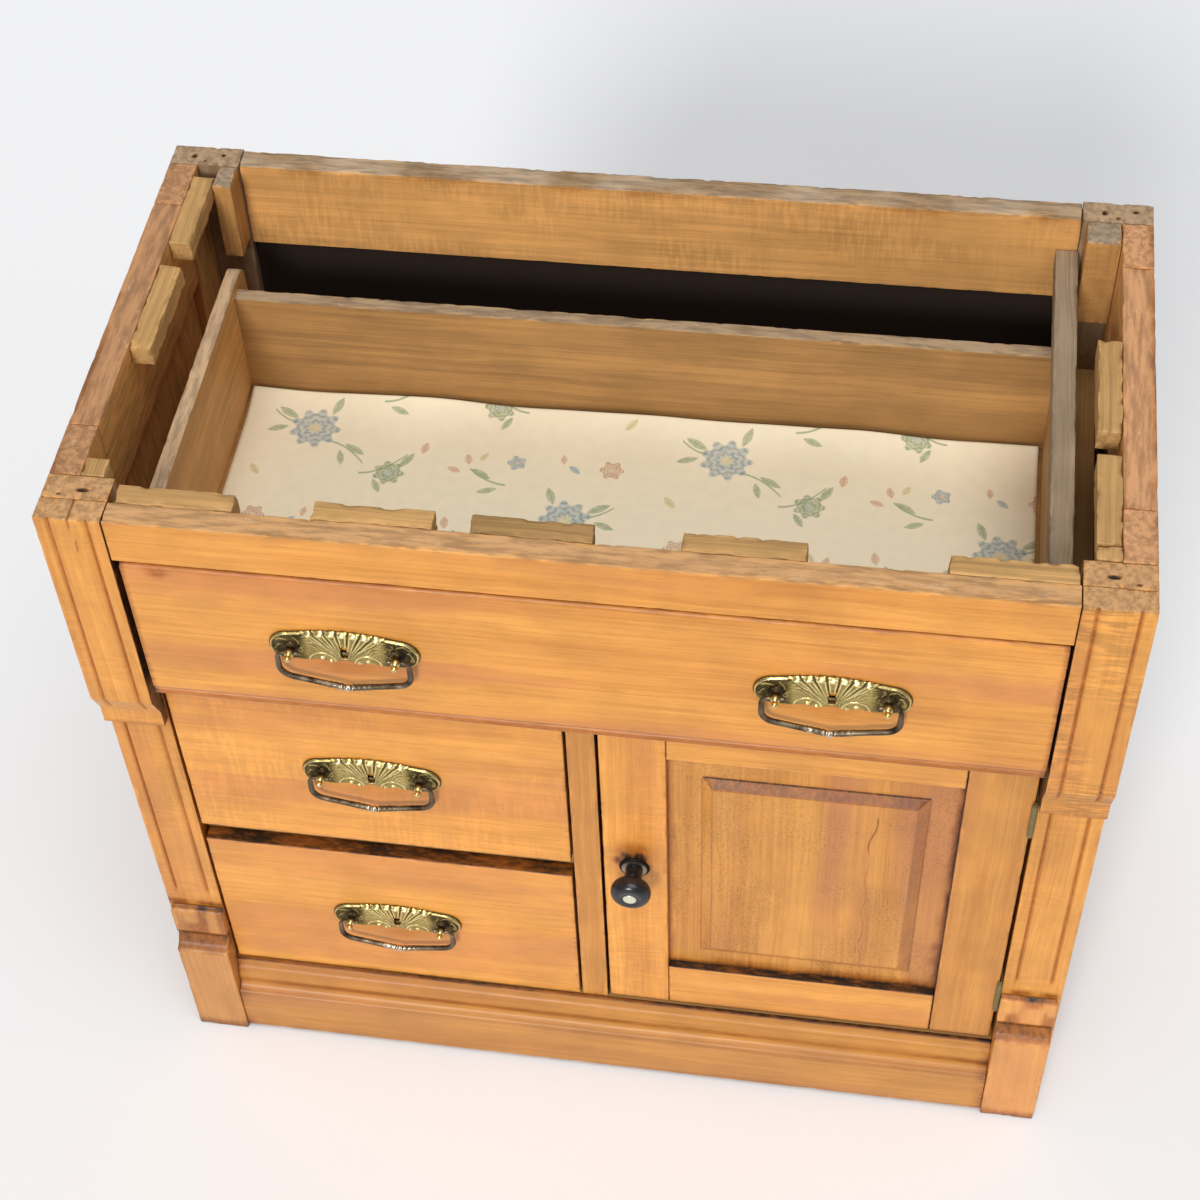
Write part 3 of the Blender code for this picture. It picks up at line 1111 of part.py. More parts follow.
def make_knob(door_home):
    """Turned knob on a rose, with a white metal centre, and the catch tongue on its spindle."""
    face = Matrix.Translation((KNOB_X, CASE_FACE, KNOB_HEIGHT)) @ FACE_FORWARD
    bore = SPINDLE_RADIUS + SPINDLE_PLAY
    rose = turned_mesh([
        (bore, ROSE_THICK), (ROSE_RADIUS - ROSE_THICK, ROSE_THICK),
        (ROSE_RADIUS, ROSE_THICK / 2), (ROSE_RADIUS, FIT), (bore, FIT), (bore, ROSE_THICK)],
        KNOB_STEPS)
    rose.transform(face)
    place("knob_rose", rose, "black_glaze", door_home)

    home = joint_home("knob_turn", (KNOB_X, CASE_FACE, KNOB_HEIGHT), door_home)
    tongue_front = FRAME_FRONT + TONGUE_GAP
    spindle_end = tongue_front + TONGUE_THICK + FIT - CASE_FACE
    shares = ((0.36, 0.965), (0.68, 0.985), (0.87, 0.93), (0.985, 0.82), (1.0, 0.72),
              (0.93, 0.60), (0.70, 0.50), (0.48, 0.40))
    profile = [(0, KNOB_REACH * shares[0][1])]
    profile += [(KNOB_RADIUS * across, KNOB_REACH * up) for across, up in shares]
    profile += [(KNOB_NECK_RADIUS, KNOB_BACK), (SPINDLE_RADIUS, KNOB_BACK),
                (SPINDLE_RADIUS, -spindle_end), (0, -spindle_end)]
    knob = turned_mesh(profile, KNOB_STEPS)
    knob.transform(face)
    place("door_knob", knob, "black_glaze", home)

    base = KNOB_REACH * shares[0][1] + FIT
    button = turned_mesh([
        (0, base + BUTTON_RISE), (BUTTON_RADIUS / 2, base + BUTTON_RISE - BUTTON_RISE / 4),
        (BUTTON_RADIUS, base + BUTTON_RISE / 4), (BUTTON_RADIUS, base), (0, base)], TURN_STEPS)
    button.transform(face)
    place("knob_button", button, "white_metal", home)

    half = TONGUE_WIDTH / 2
    outline = [(z, x) for x, z in (
        arc((KNOB_X, KNOB_HEIGHT), half, 0, 180)
        + arc((KNOB_X, KNOB_HEIGHT - TONGUE_LENGTH + half), half, 180, 360))]
    tongue = place("catch_tongue", prism_mesh(
        outline, "Y", tongue_front, tongue_front + TONGUE_THICK), "aged_brass", home)
    cut(tongue, as_cutter("tongue_bore", rod_mesh(
        (KNOB_X, tongue_front, KNOB_HEIGHT), "Y", SPINDLE_RADIUS + FIT, 4 * TONGUE_THICK)))


def main():
    make_posts_and_blocks()
    make_back()
    make_sides()
    make_front_frame()
    make_runners()
    make_drawers()
    make_door()
    bpy.context.view_layer.update()


main()
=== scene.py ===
"""The washstand's looks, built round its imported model.

The case, drawers and door are made again board by board, with worn arrises, carved
profiles and a grain that runs along each board. The pulls, knob and lining paper are
made finely. Metres, +Z up, -Y towards someone who faces the drawers.
"""

import bpy
import numpy as np
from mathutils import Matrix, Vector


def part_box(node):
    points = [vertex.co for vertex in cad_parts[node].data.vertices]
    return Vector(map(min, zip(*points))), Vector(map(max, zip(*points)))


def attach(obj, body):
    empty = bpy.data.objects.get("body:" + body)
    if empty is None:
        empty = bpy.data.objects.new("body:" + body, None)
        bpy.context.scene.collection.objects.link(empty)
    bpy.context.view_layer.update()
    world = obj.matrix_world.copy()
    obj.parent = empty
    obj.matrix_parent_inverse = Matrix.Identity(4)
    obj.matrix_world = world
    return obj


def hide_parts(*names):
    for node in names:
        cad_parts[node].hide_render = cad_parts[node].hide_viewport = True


bl_info = {
    "name": "Washstand looks",
    "version": (1, 0, 0),
    "blender": (4, 5, 0),
    "location": "3D View > Sidebar > Washstand",
    "description": "Boards, pulls, lining paper and stage of a washstand with its top off",
    "category": "Object",
}

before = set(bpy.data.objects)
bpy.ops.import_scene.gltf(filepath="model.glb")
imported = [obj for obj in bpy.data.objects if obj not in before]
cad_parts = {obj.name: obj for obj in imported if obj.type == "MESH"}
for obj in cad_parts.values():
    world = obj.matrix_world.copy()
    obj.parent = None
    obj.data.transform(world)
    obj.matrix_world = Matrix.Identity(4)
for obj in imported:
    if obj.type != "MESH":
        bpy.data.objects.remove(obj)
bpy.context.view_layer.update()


def span(node):
    """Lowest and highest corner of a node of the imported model, as arrays."""
    low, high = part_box(node)
    return np.array(low), np.array(high)


FRONT = span("upper_block_left")[0][1]
CASE_FACE = span("door_stile_left")[0][1]
TOP = span("front_top_rail")[1][2]
# A V groove's distance from the side of its post, and its depth, which is half its width
GROOVE_MARGIN, GROOVE_DEPTH = 0.0105, 0.0022
BLOCK_HEIGHT = 0.018
# How far apart two finely made pieces are kept where one would hide the other's face
SKIN = 0.00015
# Colours that grime and painted shade darken towards: amber first, nearly black where heavy
INK = (0.016, 0.008, 0.004)
AMBER = (0.60, 0.45, 0.25)


def paint(red, green, blue):
    """A colour from its 0 to 255 screen values: ((c + 0.055) / 1.055) to the power 2.4."""
    screen = np.array((red, green, blue)) / 255
    return tuple(np.where(screen < 0.04045, screen / 12.92, ((screen + 0.055) / 1.055) ** 2.4))


def tinted(colour, share):
    """A lighter or darker colour: each of its values times the share."""
    return tuple(share * np.array(colour))


# Surfaces worked out on grids


def smooth(x, low, high):
    """3t² - 2t³, where t is how far x is from low to high, held between 0 and 1."""
    t = np.clip((x - low) / (high - low), 0, 1)
    return t * t * (3 - 2 * t)


def hump(distance, reach):
    """A smooth bump: 1 where the distance is 0, falling to 0 at the reach."""
    return 1 - smooth(np.abs(distance), 0, reach)


def lattice(cells, seed):
    """A value from -1 to 1 for each whole-numbered cell: the fraction of a large sine."""
    mixed = np.sin(cells @ np.array((12.9898, 78.233, 37.719)) + 4.1414 * seed) * 43758.5453
    return 2 * (mixed - np.floor(mixed)) - 1


def drift(points, size, seed):
    """Smooth random values from -1 to 1 that change over the given size: the lattice values
    at a cell's eight corners, each weighted by the point's smoothed share of the way."""
    scaled = points / size
    cell = np.floor(scaled)
    share = smooth(scaled - cell, 0, 1)
    total = 0
    for corner in np.ndindex(2, 2, 2):
        weight = np.prod(np.where(corner, share, 1 - share), axis=-1)
        total = total + weight * lattice(cell + corner, seed)
    return total


def spaced(low, high, step, rounding, lines=()):
    """Grid lines from low to high about a step apart, closer together where the arris is
    rounded, and one at each extra line."""
    near = rounding * np.array((0, 0.3, 0.65, 1, 1.8))
    even = np.linspace(low, high, max(2, int((high - low) / step)) + 1)
    even = even[(even > low + near[-1] + step / 4) & (even < high - near[-1] - step / 4)]
    extra = np.array([line for line in lines if low + near[-1] < line < high - near[-1]])
    found = np.unique(np.concatenate((low + near, even, high - near, extra)))
    found = found[(found >= low) & (found <= high)]
    return found[np.append(True, np.diff(found) > 4e-5)]


def near(places, reach):
    """Five grid lines for each place: on it, and half and all of the reach to either side."""
    return [place + reach * share for place in places for share in (-1, -0.5, 0, 0.5, 1)]


def unmoved(points):
    """What a shape starts from: no shift, and no grime or painted shade at any point."""
    return np.zeros_like(points), np.zeros(len(points))


def cavity_mark(level):
    """The mark of a metal piece: its level, from 0 in a hollow to 1 on a ridge."""
    return {"age": np.stack((level, level * 0, level * 0), -1)}


def box_shell(grid):
    """The six faces of a box of grid lines: its surface points, and its squares turned out."""
    shape = tuple(len(lines) for lines in grid)
    number = np.arange(np.prod(shape)).reshape(shape)
    squares = []
    for axis in range(3):
        for side in (0, -1):
            sheet = np.take(number, side, axis)
            found = np.stack((sheet[:-1, :-1], sheet[1:, :-1], sheet[1:, 1:], sheet[:-1, 1:]), -1)
            inward = (side == 0) != (axis == 1)
            squares.append(found.reshape(-1, 4)[:, ::-1 if inward else 1])
    used, order = np.unique(np.concatenate(squares), return_inverse=True)
    places = np.unravel_index(used, shape)
    points = np.stack([lines[place] for lines, place in zip(grid, places)], -1)
    return points, [order.reshape(-1, 4)]


def grid_faces(rows, columns, closed=False):
    """Squares of a grid numbered row by row. A closed grid's last column joins its first."""
    number = np.arange(rows * columns).reshape(rows, columns)
    if closed:
        number = np.concatenate((number, number[:, :1]), axis=1)
    corners = (number[:-1, :-1], number[1:, :-1], number[1:, 1:], number[:-1, 1:])
    return np.stack(corners, -1).reshape(-1, 4)


def tube(rings, first, last):
    """Rings of points joined into a closed skin, with a fan of triangles to a point at each
    end. Rings run from first to last, and each is right-handed about that direction."""
    count, steps = rings.shape[:2]
    points = np.concatenate((rings.reshape(-1, 3), [first, last]))
    around = np.arange(steps)
    after = (around + 1) % steps
    tip, end = count * steps, count * steps + 1
    cap = np.stack((np.full(steps, tip), around, after), -1)
    rear = (count - 1) * steps
    base = np.stack((np.full(steps, end), rear + after, rear + around), -1)
    return points, [grid_faces(count, steps, closed=True), cap, base]


def turned(profile, steps, centre, petals=None):
    """A profile of (radius, height) carried round an axis that points along -Y from the
    centre: a point is radius x (cos, sin) of the turn. It starts at the tip."""
    profile = np.asarray(profile, float)
    turn = np.arange(steps) * 2 * np.pi / steps
    radius, height = profile[1:-1, 0][:, None], profile[1:-1, 1][:, None]
    if petals is not None:
        radius = radius * petals(turn[None, :], height)
    height = np.broadcast_to(height, (len(profile) - 2, steps))
    rings = np.stack((radius * np.cos(turn), -height, radius * np.sin(turn)), -1)
    ends = np.array(((0, -profile[0, 1], 0), (0, -profile[-1, 1], 0)))
    return tube(rings + centre, *(ends + centre))


def swept(path, radii, steps):
    """A round wire carried along a path in the XZ plane: each ring is
    radius x (cos x inward normal + sin x Y) about the path's point."""
    ahead = np.gradient(path, axis=0)
    ahead /= np.linalg.norm(ahead, axis=1)[:, None]
    side = np.stack((-ahead[:, 2], np.zeros(len(path)), ahead[:, 0]), -1)
    turn = np.arange(steps) * 2 * np.pi / steps
    across = side[:, None] * np.cos(turn)[:, None]
    forward = np.array((0, 1, 0)) * np.sin(turn)[:, None]
    rings = path[:, None] + radii[:, None, None] * (across + forward)
    return tube(rings, path[0], path[-1])


def gather(shells):
    """Several closed skins as the shells of one piece."""
    points, faces, count = [], [], 0
    for found, squares in shells:
        points.append(found)
        faces += [part + count for part in squares]
        count += len(found)
    return np.concatenate(points), faces


def make(name, shell, look, body, nodes, marks=None):
    """Puts a shell into a mesh with its marks as point attributes, gives it the finish that
    look names, and lets it ride on its body in place of the nodes that it stands for."""
    points, faces = shell
    name = "fine_" + name
    mesh = bpy.data.meshes.new(name)
    mesh.vertices.add(len(points))
    mesh.vertices.foreach_set("co", points.astype(np.float32).ravel())
    loops = np.concatenate([part.ravel() for part in faces])
    sizes = np.concatenate([np.full(len(part), part.shape[1]) for part in faces])
    mesh.loops.add(len(loops))
    mesh.loops.foreach_set("vertex_index", loops.astype(np.int32))
    mesh.polygons.add(len(sizes))
    starts = np.concatenate(([0], np.cumsum(sizes)[:-1]))
    mesh.polygons.foreach_set("loop_start", starts.astype(np.int32))
    mesh.update(calc_edges=True)
    mesh.shade_smooth()
    for mark, values in (marks or {}).items():
        kept = mesh.attributes.new(mark, "FLOAT_VECTOR", "POINT")
        kept.data.foreach_set("vector", values.astype(np.float32).ravel())
    mesh.materials.append(finish(look))
    piece = bpy.data.objects.new(name, mesh)
    bpy.context.scene.collection.objects.link(piece)
    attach(piece, body)
    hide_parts(*nodes)
    return piece


def turned_to(facing, letter):
    """How far each point faces the side that a letter names: x, y and z are the high sides,
    l, f and b the low ones."""
    place = "xyzlfb".index(letter.lower())
    sign = 1 if place < 3 else -1
    return smooth(sign * facing[:, place % 3], 0.3, 0.8)


def named_faces(facing, letters, upper):
    """How far a point faces any of the sides that letters name. Capitals and small letters
    are asked for apart."""
    share = np.zeros(len(facing))
    for letter in letters:
        if letter.isupper() == upper:
            share = np.maximum(share, turned_to(facing, letter))
    return share


def board(name, low, high, along, look, body, nodes, slot="front_wood", step=0.006,
          rounding=None, wear=0.0003, shape=None, lines=((), (), ()), bare="", tone=0.0,
          shaded_faces="", dust=0.86, deep=None, bleed=0.0):
    """A sawn board: six grids closed into a box, with its arrises rolled over and worn.

    Each point is moved to the nearest place of a box that is smaller by the rounding, and
    from there out again by the rounding, so faces stay flat and arrises become quarter
    rounds. Near an arris the surface sinks by the wear times a smooth random value. shape
    gives each point a further shift and its grime and painted shade. The grain runs along the
    axis of that number, lines are extra grid lines for each axis, and tone is how much lighter
    the board is than its finish. bare names the faces that were left without varnish:
    capitals for a top that shows, small letters for an inner face. The three arguments after
    tone paint shade: small letters name the faces that are painted dark as shade in gaps and
    recesses, the next says how dark, and deep is the height above which that painted shade
    has faded out. bleed is how far the bare top's colour runs down the front.
    """
    woods = settings("wood")
    if rounding is None:
        rounding = round(woods.arris, 7)
    wear = wear * woods.wear
    low, high = np.asarray(low, float), np.asarray(high, float)
    seed = sum(map(ord, name))
    steps = np.broadcast_to(step, 3)
    grid = [spaced(*row) for row in zip(low, high, steps, (rounding,) * 3, lines)]
    points, faces = box_shell(grid)
    within = np.sort(np.minimum(points - low, high - points), axis=1)
    arris = hump(within[:, 1], 0.003 + 2 * rounding)
    core = np.clip(points, low + rounding, high - rounding)
    facing = points - core
    facing /= np.linalg.norm(facing, axis=1)[:, None]
    coarse, fine = drift(points, 0.023, seed), drift(points, 0.0055, seed + 7)
    upper = 0.35 + 0.65 * hump(high[2] - points[:, 2], 0.02) if "Z" in bare else 1
    sunk = wear * arris * upper * (0.6 * smooth(coarse, 0, 0.9) + smooth(fine, 0, 0.9))
    shift, grime_and_shade = shape(points, facing) if shape is not None else unmoved(points)
    whole = core + facing * (rounding - sunk[:, None]) + shift
    order = [along] + [axis for axis in range(3) if axis != along]
    grain = whole[:, order] + np.array((0.37, 0.73, 0.19)) * (seed % 41)
    open_top = named_faces(facing, bare, upper=True)
    if bleed:
        edge = high[2] - bleed * (0.5 + 0.45 * coarse + 0.3 * fine)
        open_top = np.maximum(open_top, 0.6 * smooth(points[:, 2], edge - 0.003, edge + 0.004))
    # Painted shade on the named faces that stand in gaps and recesses: patchy, and fading out upwards
    # to nothing at the height deep
    painted_shade = named_faces(facing, shaded_faces, upper=False) * dust * (1 + 0.25 * coarse)
    if deep is not None:
        painted_shade = painted_shade * (1 - smooth(points[:, 2], deep - 0.10, deep))
    grime_and_shade = np.maximum(grime_and_shade, painted_shade)
    rubbed = np.clip(arris * (0.40 + 0.6 * coarse + 0.5 * fine), 0, 1)
    age = np.stack((rubbed, np.clip(grime_and_shade, 0, 1), open_top), -1)
    open_inside = named_faces(facing, bare, upper=False)
    shade = np.stack((np.full(len(points), tone), open_inside, np.zeros(len(points))), -1)
    return make(name, (whole, faces), look, body, nodes,
                {"grain": grain, "age": age, "tone": shade})


# Shader graphs written as expressions


class Term:
    """A socket in an expression. Sums, differences, products and quotients add Math nodes,
    or Vector Math nodes where one side is a vector or a colour."""

    def __init__(self, graph, socket):
        self.graph = graph
        self.socket = socket
        self.wide = socket.type in ("VECTOR", "RGBA")

    def joined(self, operation, first, second):
        wide = any(getattr(side, "wide", isinstance(side, tuple)) for side in (first, second))
        kind = "ShaderNodeVectorMath" if wide else "ShaderNodeMath"
        return self.graph.node(kind, {"operation": operation}, {0: first, 1: second})

    def __add__(self, other):
        return self.joined("ADD", self, other)

    def __radd__(self, other):
        return self.joined("ADD", other, self)

    def __sub__(self, other):
        return self.joined("SUBTRACT", self, other)

    def __rsub__(self, other):
        return self.joined("SUBTRACT", other, self)

    def __mul__(self, other):
        return self.joined("MULTIPLY", self, other)

    def __rmul__(self, other):
        return self.joined("MULTIPLY", other, self)

    def __truediv__(self, other):
        return self.joined("DIVIDE", self, other)


class Graph:
    """A material, or the world, and the one way in which its nodes are added."""

    def __init__(self, name, world=None):
        self.material = world or bpy.data.materials.new(name)
        self.material.use_nodes = True
        self.tree = self.material.node_tree
        self.shader = self.tree.nodes["Background" if world else "Principled BSDF"]

    def node(self, kind, settings=None, inputs=None, output=0):
        """Adds a node: its settings first, then a value or a link for each socket."""
        made = self.tree.nodes.new(kind)
        for key, value in (settings or {}).items():
            setattr(made, key, value)
        for key, value in (inputs or {}).items():
            self.feed(made.inputs[key], value)
        return Term(self, made.outputs[output])

    def feed(self, socket, value):
        """Links a term to a socket, or writes a number, vector or colour on it."""
        if isinstance(value, Term):
            self.tree.links.new(value.socket, socket)
        elif hasattr(socket.default_value, "__len__"):
            size = len(socket.default_value)
            row = tuple(np.broadcast_to(value, 3)) if size >= 3 else tuple(value)
            socket.default_value = (*row, 1.0)[:size]
        else:
            socket.default_value = value

    def mark(self, name):
        """A vector attribute of the piece."""
        return self.node("ShaderNodeAttribute", {"attribute_name": name}, output="Vector")

    def parts(self, vector):
        """The three numbers of a vector."""
        split = self.node("ShaderNodeSeparateXYZ", None, {0: vector}).socket.node
        return [Term(self, socket) for socket in split.outputs]

    def noise(self, vector, detail=2.0, rough=0.5):
        """Perlin noise around 0.5 at a place."""
        return self.node("ShaderNodeTexNoise", None,
                         {"Vector": vector, "Scale": 1.0, "Detail": detail, "Roughness": rough})

    def rise(self, value, low, high, start=0.0, end=1.0):
        """The smooth step from start to end as the value goes from low to high."""
        return self.node("ShaderNodeMapRange", {"interpolation_type": "SMOOTHSTEP"}, {
            "Value": value, "From Min": low, "From Max": high, "To Min": start, "To Max": end})

    def maths(self, operation, *values):
        """One Math node of a named operation."""
        return self.node("ShaderNodeMath", {"operation": operation}, dict(enumerate(values)))

    def mix(self, share, first, second):
        """A colour between two colours, the share of the way from the first."""
        return self.node("ShaderNodeMix", {"data_type": "RGBA"},
                         {0: share, 6: first, 7: second}, output=2)

    def bump(self, height, distance, strength=1.0):
        """Bends the surface's normal by a height."""
        return self.node("ShaderNodeBump", None, {
            "Height": height, "Distance": distance, "Strength": strength})

    def finish(self, **inputs):
        """Feeds the shader's sockets and gives the material."""
        for key, value in inputs.items():
            self.feed(self.shader.inputs[key.replace("_", " ").title().replace("Ior", "IOR")],
                      value)
        return self.material


def wood(name, light, dark, warm, inner, top, contrast=1.0, figure=0.0, pebble=0.0,
         roughness=0.42, coat=0.1, axis=None):
    """Varnished or bare wood. Noise stretched along the grain gives broad bands, streaks and
    fibres; noise stretched across it gives curl; round noise gives the pebbles of old
    varnish. Grime and painted shade, which go from amber to black, rubbed arrises and bare
    faces come from the board's own marks. axis is the grain's direction on a node without marks."""
    graph = Graph(name)
    if axis is None:
        grain = graph.mark("grain")
    else:
        place = graph.parts(graph.node("ShaderNodeTexCoord", output="Object"))
        order = [place[axis]] + [place[other] for other in range(3) if other != axis]
        grain = graph.node("ShaderNodeCombineXYZ", None, dict(enumerate(order)))
    rubbed, grime_and_shade, bare = graph.parts(graph.mark("age"))
    tone, inward, _ = graph.parts(graph.mark("tone"))
    wander = graph.noise(grain * (4.0, 11.0, 11.0), 2.0) - 0.5
    bent = grain + wander * (0.0, 0.014, 0.010)
    broad = graph.noise(bent * (2.2, 34.0, 34.0), 3.0)
    streak = graph.noise(bent * (7.0, 260.0, 260.0), 3.0, 0.6)
    fibre = graph.noise(bent * (60.0, 1900.0, 1900.0), 2.0, 0.6)
    line = graph.noise(bent * (4.0, 620.0, 620.0) + (1.7, 4.4, 2.9), 2.0, 0.6)
    share = (0.45 + (broad - 0.5) * (1.5 * contrast) + (streak - 0.5) * (1.3 * contrast)
             + (line - 0.5) * (0.9 * contrast))
    colour = graph.mix(share, light, dark)
    blush = graph.noise(bent * (1.9, 21.0, 21.0) + (3.1, 5.7, 1.3), 3.0)
    colour = graph.mix(graph.rise(blush, 0.47, 0.66, 0.0, 0.7), colour, warm)
    cloud = graph.noise(grain * (17.0, 24.0, 24.0) + (2.4, 6.6, 9.2), 3.0, 0.6)
    colour = colour * graph.rise(cloud, 0.3, 0.72, 1.06, 0.88)
    if pebble:
        cell = graph.noise(grain * 420.0, 2.0, 0.55)
        where = graph.noise(grain * 16.0 + (5.3, 1.2, 7.1), 2.0)
        colour = colour * (1 - graph.rise(cell, 0.48, 0.66) * graph.rise(where, 0.38, 0.6)
                           * pebble)
    if figure:
        curl = graph.noise(bent * (330.0, 40.0, 40.0), 2.0, 0.5)
        where = graph.noise(grain * (14.0, 22.0, 22.0) + (8.3, 2.2, 4.1), 1.0)
        stripe = graph.rise(curl, 0.42, 0.62, -0.5, 0.5) * graph.rise(where, 0.35, 0.6)
        colour = colour * (1 + stripe * figure)
    colour = colour * graph.rise(fibre, 0.58, 0.74, 1.0, 0.80) * (1 + tone)
    mottle = graph.noise(bent * (34.0, 210.0, 210.0), 4.0, 0.65)
    inside = graph.mix(graph.rise(mottle, 0.35, 0.68), inner, tinted(inner, 0.6))
    upper = graph.mix(graph.rise(mottle, 0.38, 0.66), top, tinted(top, 0.62))
    scuff = graph.noise(grain * (55.0, 140.0, 140.0) + (7.7, 3.3, 1.1), 4.0, 0.7)
    upper = graph.mix(graph.rise(scuff, 0.60, 0.72, 0.0, 0.45), upper, paint(214, 190, 160))
    colour = graph.mix(inward, colour, inside * (1 + tone))
    colour = graph.mix(bare, colour, upper * (1 + tone))
    worn = graph.mix(graph.rise(mottle, 0.42, 0.56), tinted(light, 1.2),
                     tinted(dark, 0.5))
    colour = graph.mix(rubbed * 0.5, colour, worn)
    speck = graph.noise(grain * (90.0, 260.0, 260.0), 3.0, 0.65)
    # Grime and painted shade, flecked: first amber, then nearly black where it is heavy
    dirt_and_shade = grime_and_shade * graph.rise(speck, 0.25, 0.7, 0.78, 1.2)
    colour = colour * graph.mix(graph.rise(dirt_and_shade, 0.0, 0.5), (1.0, 1.0, 1.0), AMBER)
    colour = graph.mix(graph.rise(dirt_and_shade, 0.35, 1.0), colour, INK)
    height = fibre * 0.5 + streak * 0.8 + mottle * bare * 2.0
    return graph.finish(
        base_color=colour,
        roughness=graph.rise(bare, 0.0, 0.6, 0.0, 0.3) + (streak * 0.2 + (roughness - 0.1)),
        normal=graph.bump(height, 0.00035, 0.55), coat_weight=coat, coat_roughness=0.3,
        specular_ior_level=0.4)


def stamped(name, ridge, field, hollow, roughness=0.34, metallic=1.0, rub=0.5):
    """Metal that is bright on its ridges and dark in its hollows: the piece's cavity mark
    goes from 0 in a hollow to 1 on a ridge."""
    graph = Graph(name)
    place = graph.node("ShaderNodeTexCoord", output="Object")
    grit = graph.noise(place * 900.0, 3.0, 0.65)
    patch = graph.noise(place * 130.0, 2.0)
    cavity = graph.parts(graph.mark("age"))[0] + (grit - 0.5) * 0.7 + (patch - 0.5) * rub
    colour = graph.mix(graph.rise(cavity, 0.05, 0.5), hollow, field)
    colour = graph.mix(graph.rise(cavity, 0.55, 0.95), colour, ridge)
    return graph.finish(
        base_color=colour, metallic=metallic,
        roughness=graph.rise(cavity, 0.1, 0.9, roughness + 0.25, roughness - 0.08),
        normal=graph.bump(grit, 0.0002, 0.5))


# Sizes and colours that a user would change


def colour_setting(name, description, *screen):
    """A colour that a user can change. Its default is given in 0 to 255 screen values."""
    return bpy.props.FloatVectorProperty(name=name, description=description, subtype="COLOR",
                                         size=3, min=0, max=1, default=paint(*screen))


def number_setting(name, description, low, high, default, unit="NONE"):
    """A number that a user can change, from the low limit to the high one."""
    return bpy.props.FloatProperty(name=name, description=description, unit=unit, min=low,
                                   max=high, default=default)


class WashstandWood(bpy.types.PropertyGroup):
    """Colours of the woods, and how worn the boards are."""

    front_light: colour_setting(
        "Front, light", "Lightest streaks of the varnished front", 235, 164, 74)
    front_dark: colour_setting(
        "Front, dark", "Darkest streaks of the varnished front", 203, 131, 50)
    front_warm: colour_setting(
        "Front, blush", "Pinkish patches of the varnished front", 209, 135, 68)
    side_light: colour_setting("Sides, light", "Light streaks of the sides", 206, 136, 74)
    bare_top: colour_setting(
        "Bare top edges", "Upper edges that the top board covered", 217, 167, 114)
    block_wood: colour_setting("Glue blocks", "Bare glue blocks", 221, 173, 109)
    drawer_wood: colour_setting("Drawer wood", "Sides and backs of the drawers", 190, 142, 84)
    back_wood: colour_setting("Back wood", "Inner faces of the back", 234, 174, 103)
    arris: number_setting("Arris", "Rounding of a plain board's arrises",
                          0.0003, 0.003, 0.0009, unit="LENGTH")
    wear: number_setting("Wear", "Depth of the dents along the arrises, as a share of what "
                         "each board has", 0, 3, 1)


class WashstandPulls(bpy.types.PropertyGroup):
    """Sizes of the pulls' relief, and their metals."""

    ridge: colour_setting("Brass ridges", "Rubbed ridges of the plates", 246, 228, 160)
    field: colour_setting("Brass field", "Field of the plates", 180, 158, 98)
    hollow: colour_setting("Brass hollows", "Dark hollows of the plates", 80, 70, 44)
    bronze: colour_setting("Bail", "Dark metal of the bails", 116, 102, 84)
    boss: number_setting("Boss spacing", "Distance between the bosses of a plate's crown",
                         0.004, 0.012, 0.0084, unit="LENGTH")
    relief: number_setting("Relief", "Height of the plates' ridges and bosses",
                           0.0002, 0.002, 0.0014, unit="LENGTH")


class WashstandLiner(bpy.types.PropertyGroup):
    """The printed lining paper."""

    ground: colour_setting("Ground", "Colour of the paper", 255, 244, 214)
    leaf: colour_setting("Leaf", "Green of the print", 163, 180, 140)
    bloom: colour_setting("Bloom", "Blue grey of the print", 168, 186, 190)
    berry: colour_setting("Berry", "Peach of the print", 226, 182, 146)
    repeat: number_setting("Repeat", "Width of the print's repeat",
                           0.05, 0.4, 0.165, unit="LENGTH")


class WashstandStage(bpy.types.PropertyGroup):
    """Floor, light and camera."""

    floor: colour_setting("Floor", "Colour of the floor", 240, 242, 245)
    sky: number_setting("Sky", "Strength of the even light from all round", 0, 2, 0.31)
    ceiling: number_setting("Ceiling lamp", "Strength of the large lamp overhead", 0, 10, 1.4)
    lamp: number_setting("Low lamp", "Strength of the lamp behind the camera", 0, 10, 1.9)
    lens: number_setting("Lens", "The camera's focal length in millimetres", 20, 200, 70.08)


def settings(group):
    """One of this add-on's groups of settings."""
    return getattr(bpy.context.scene, "washstand_" + group)


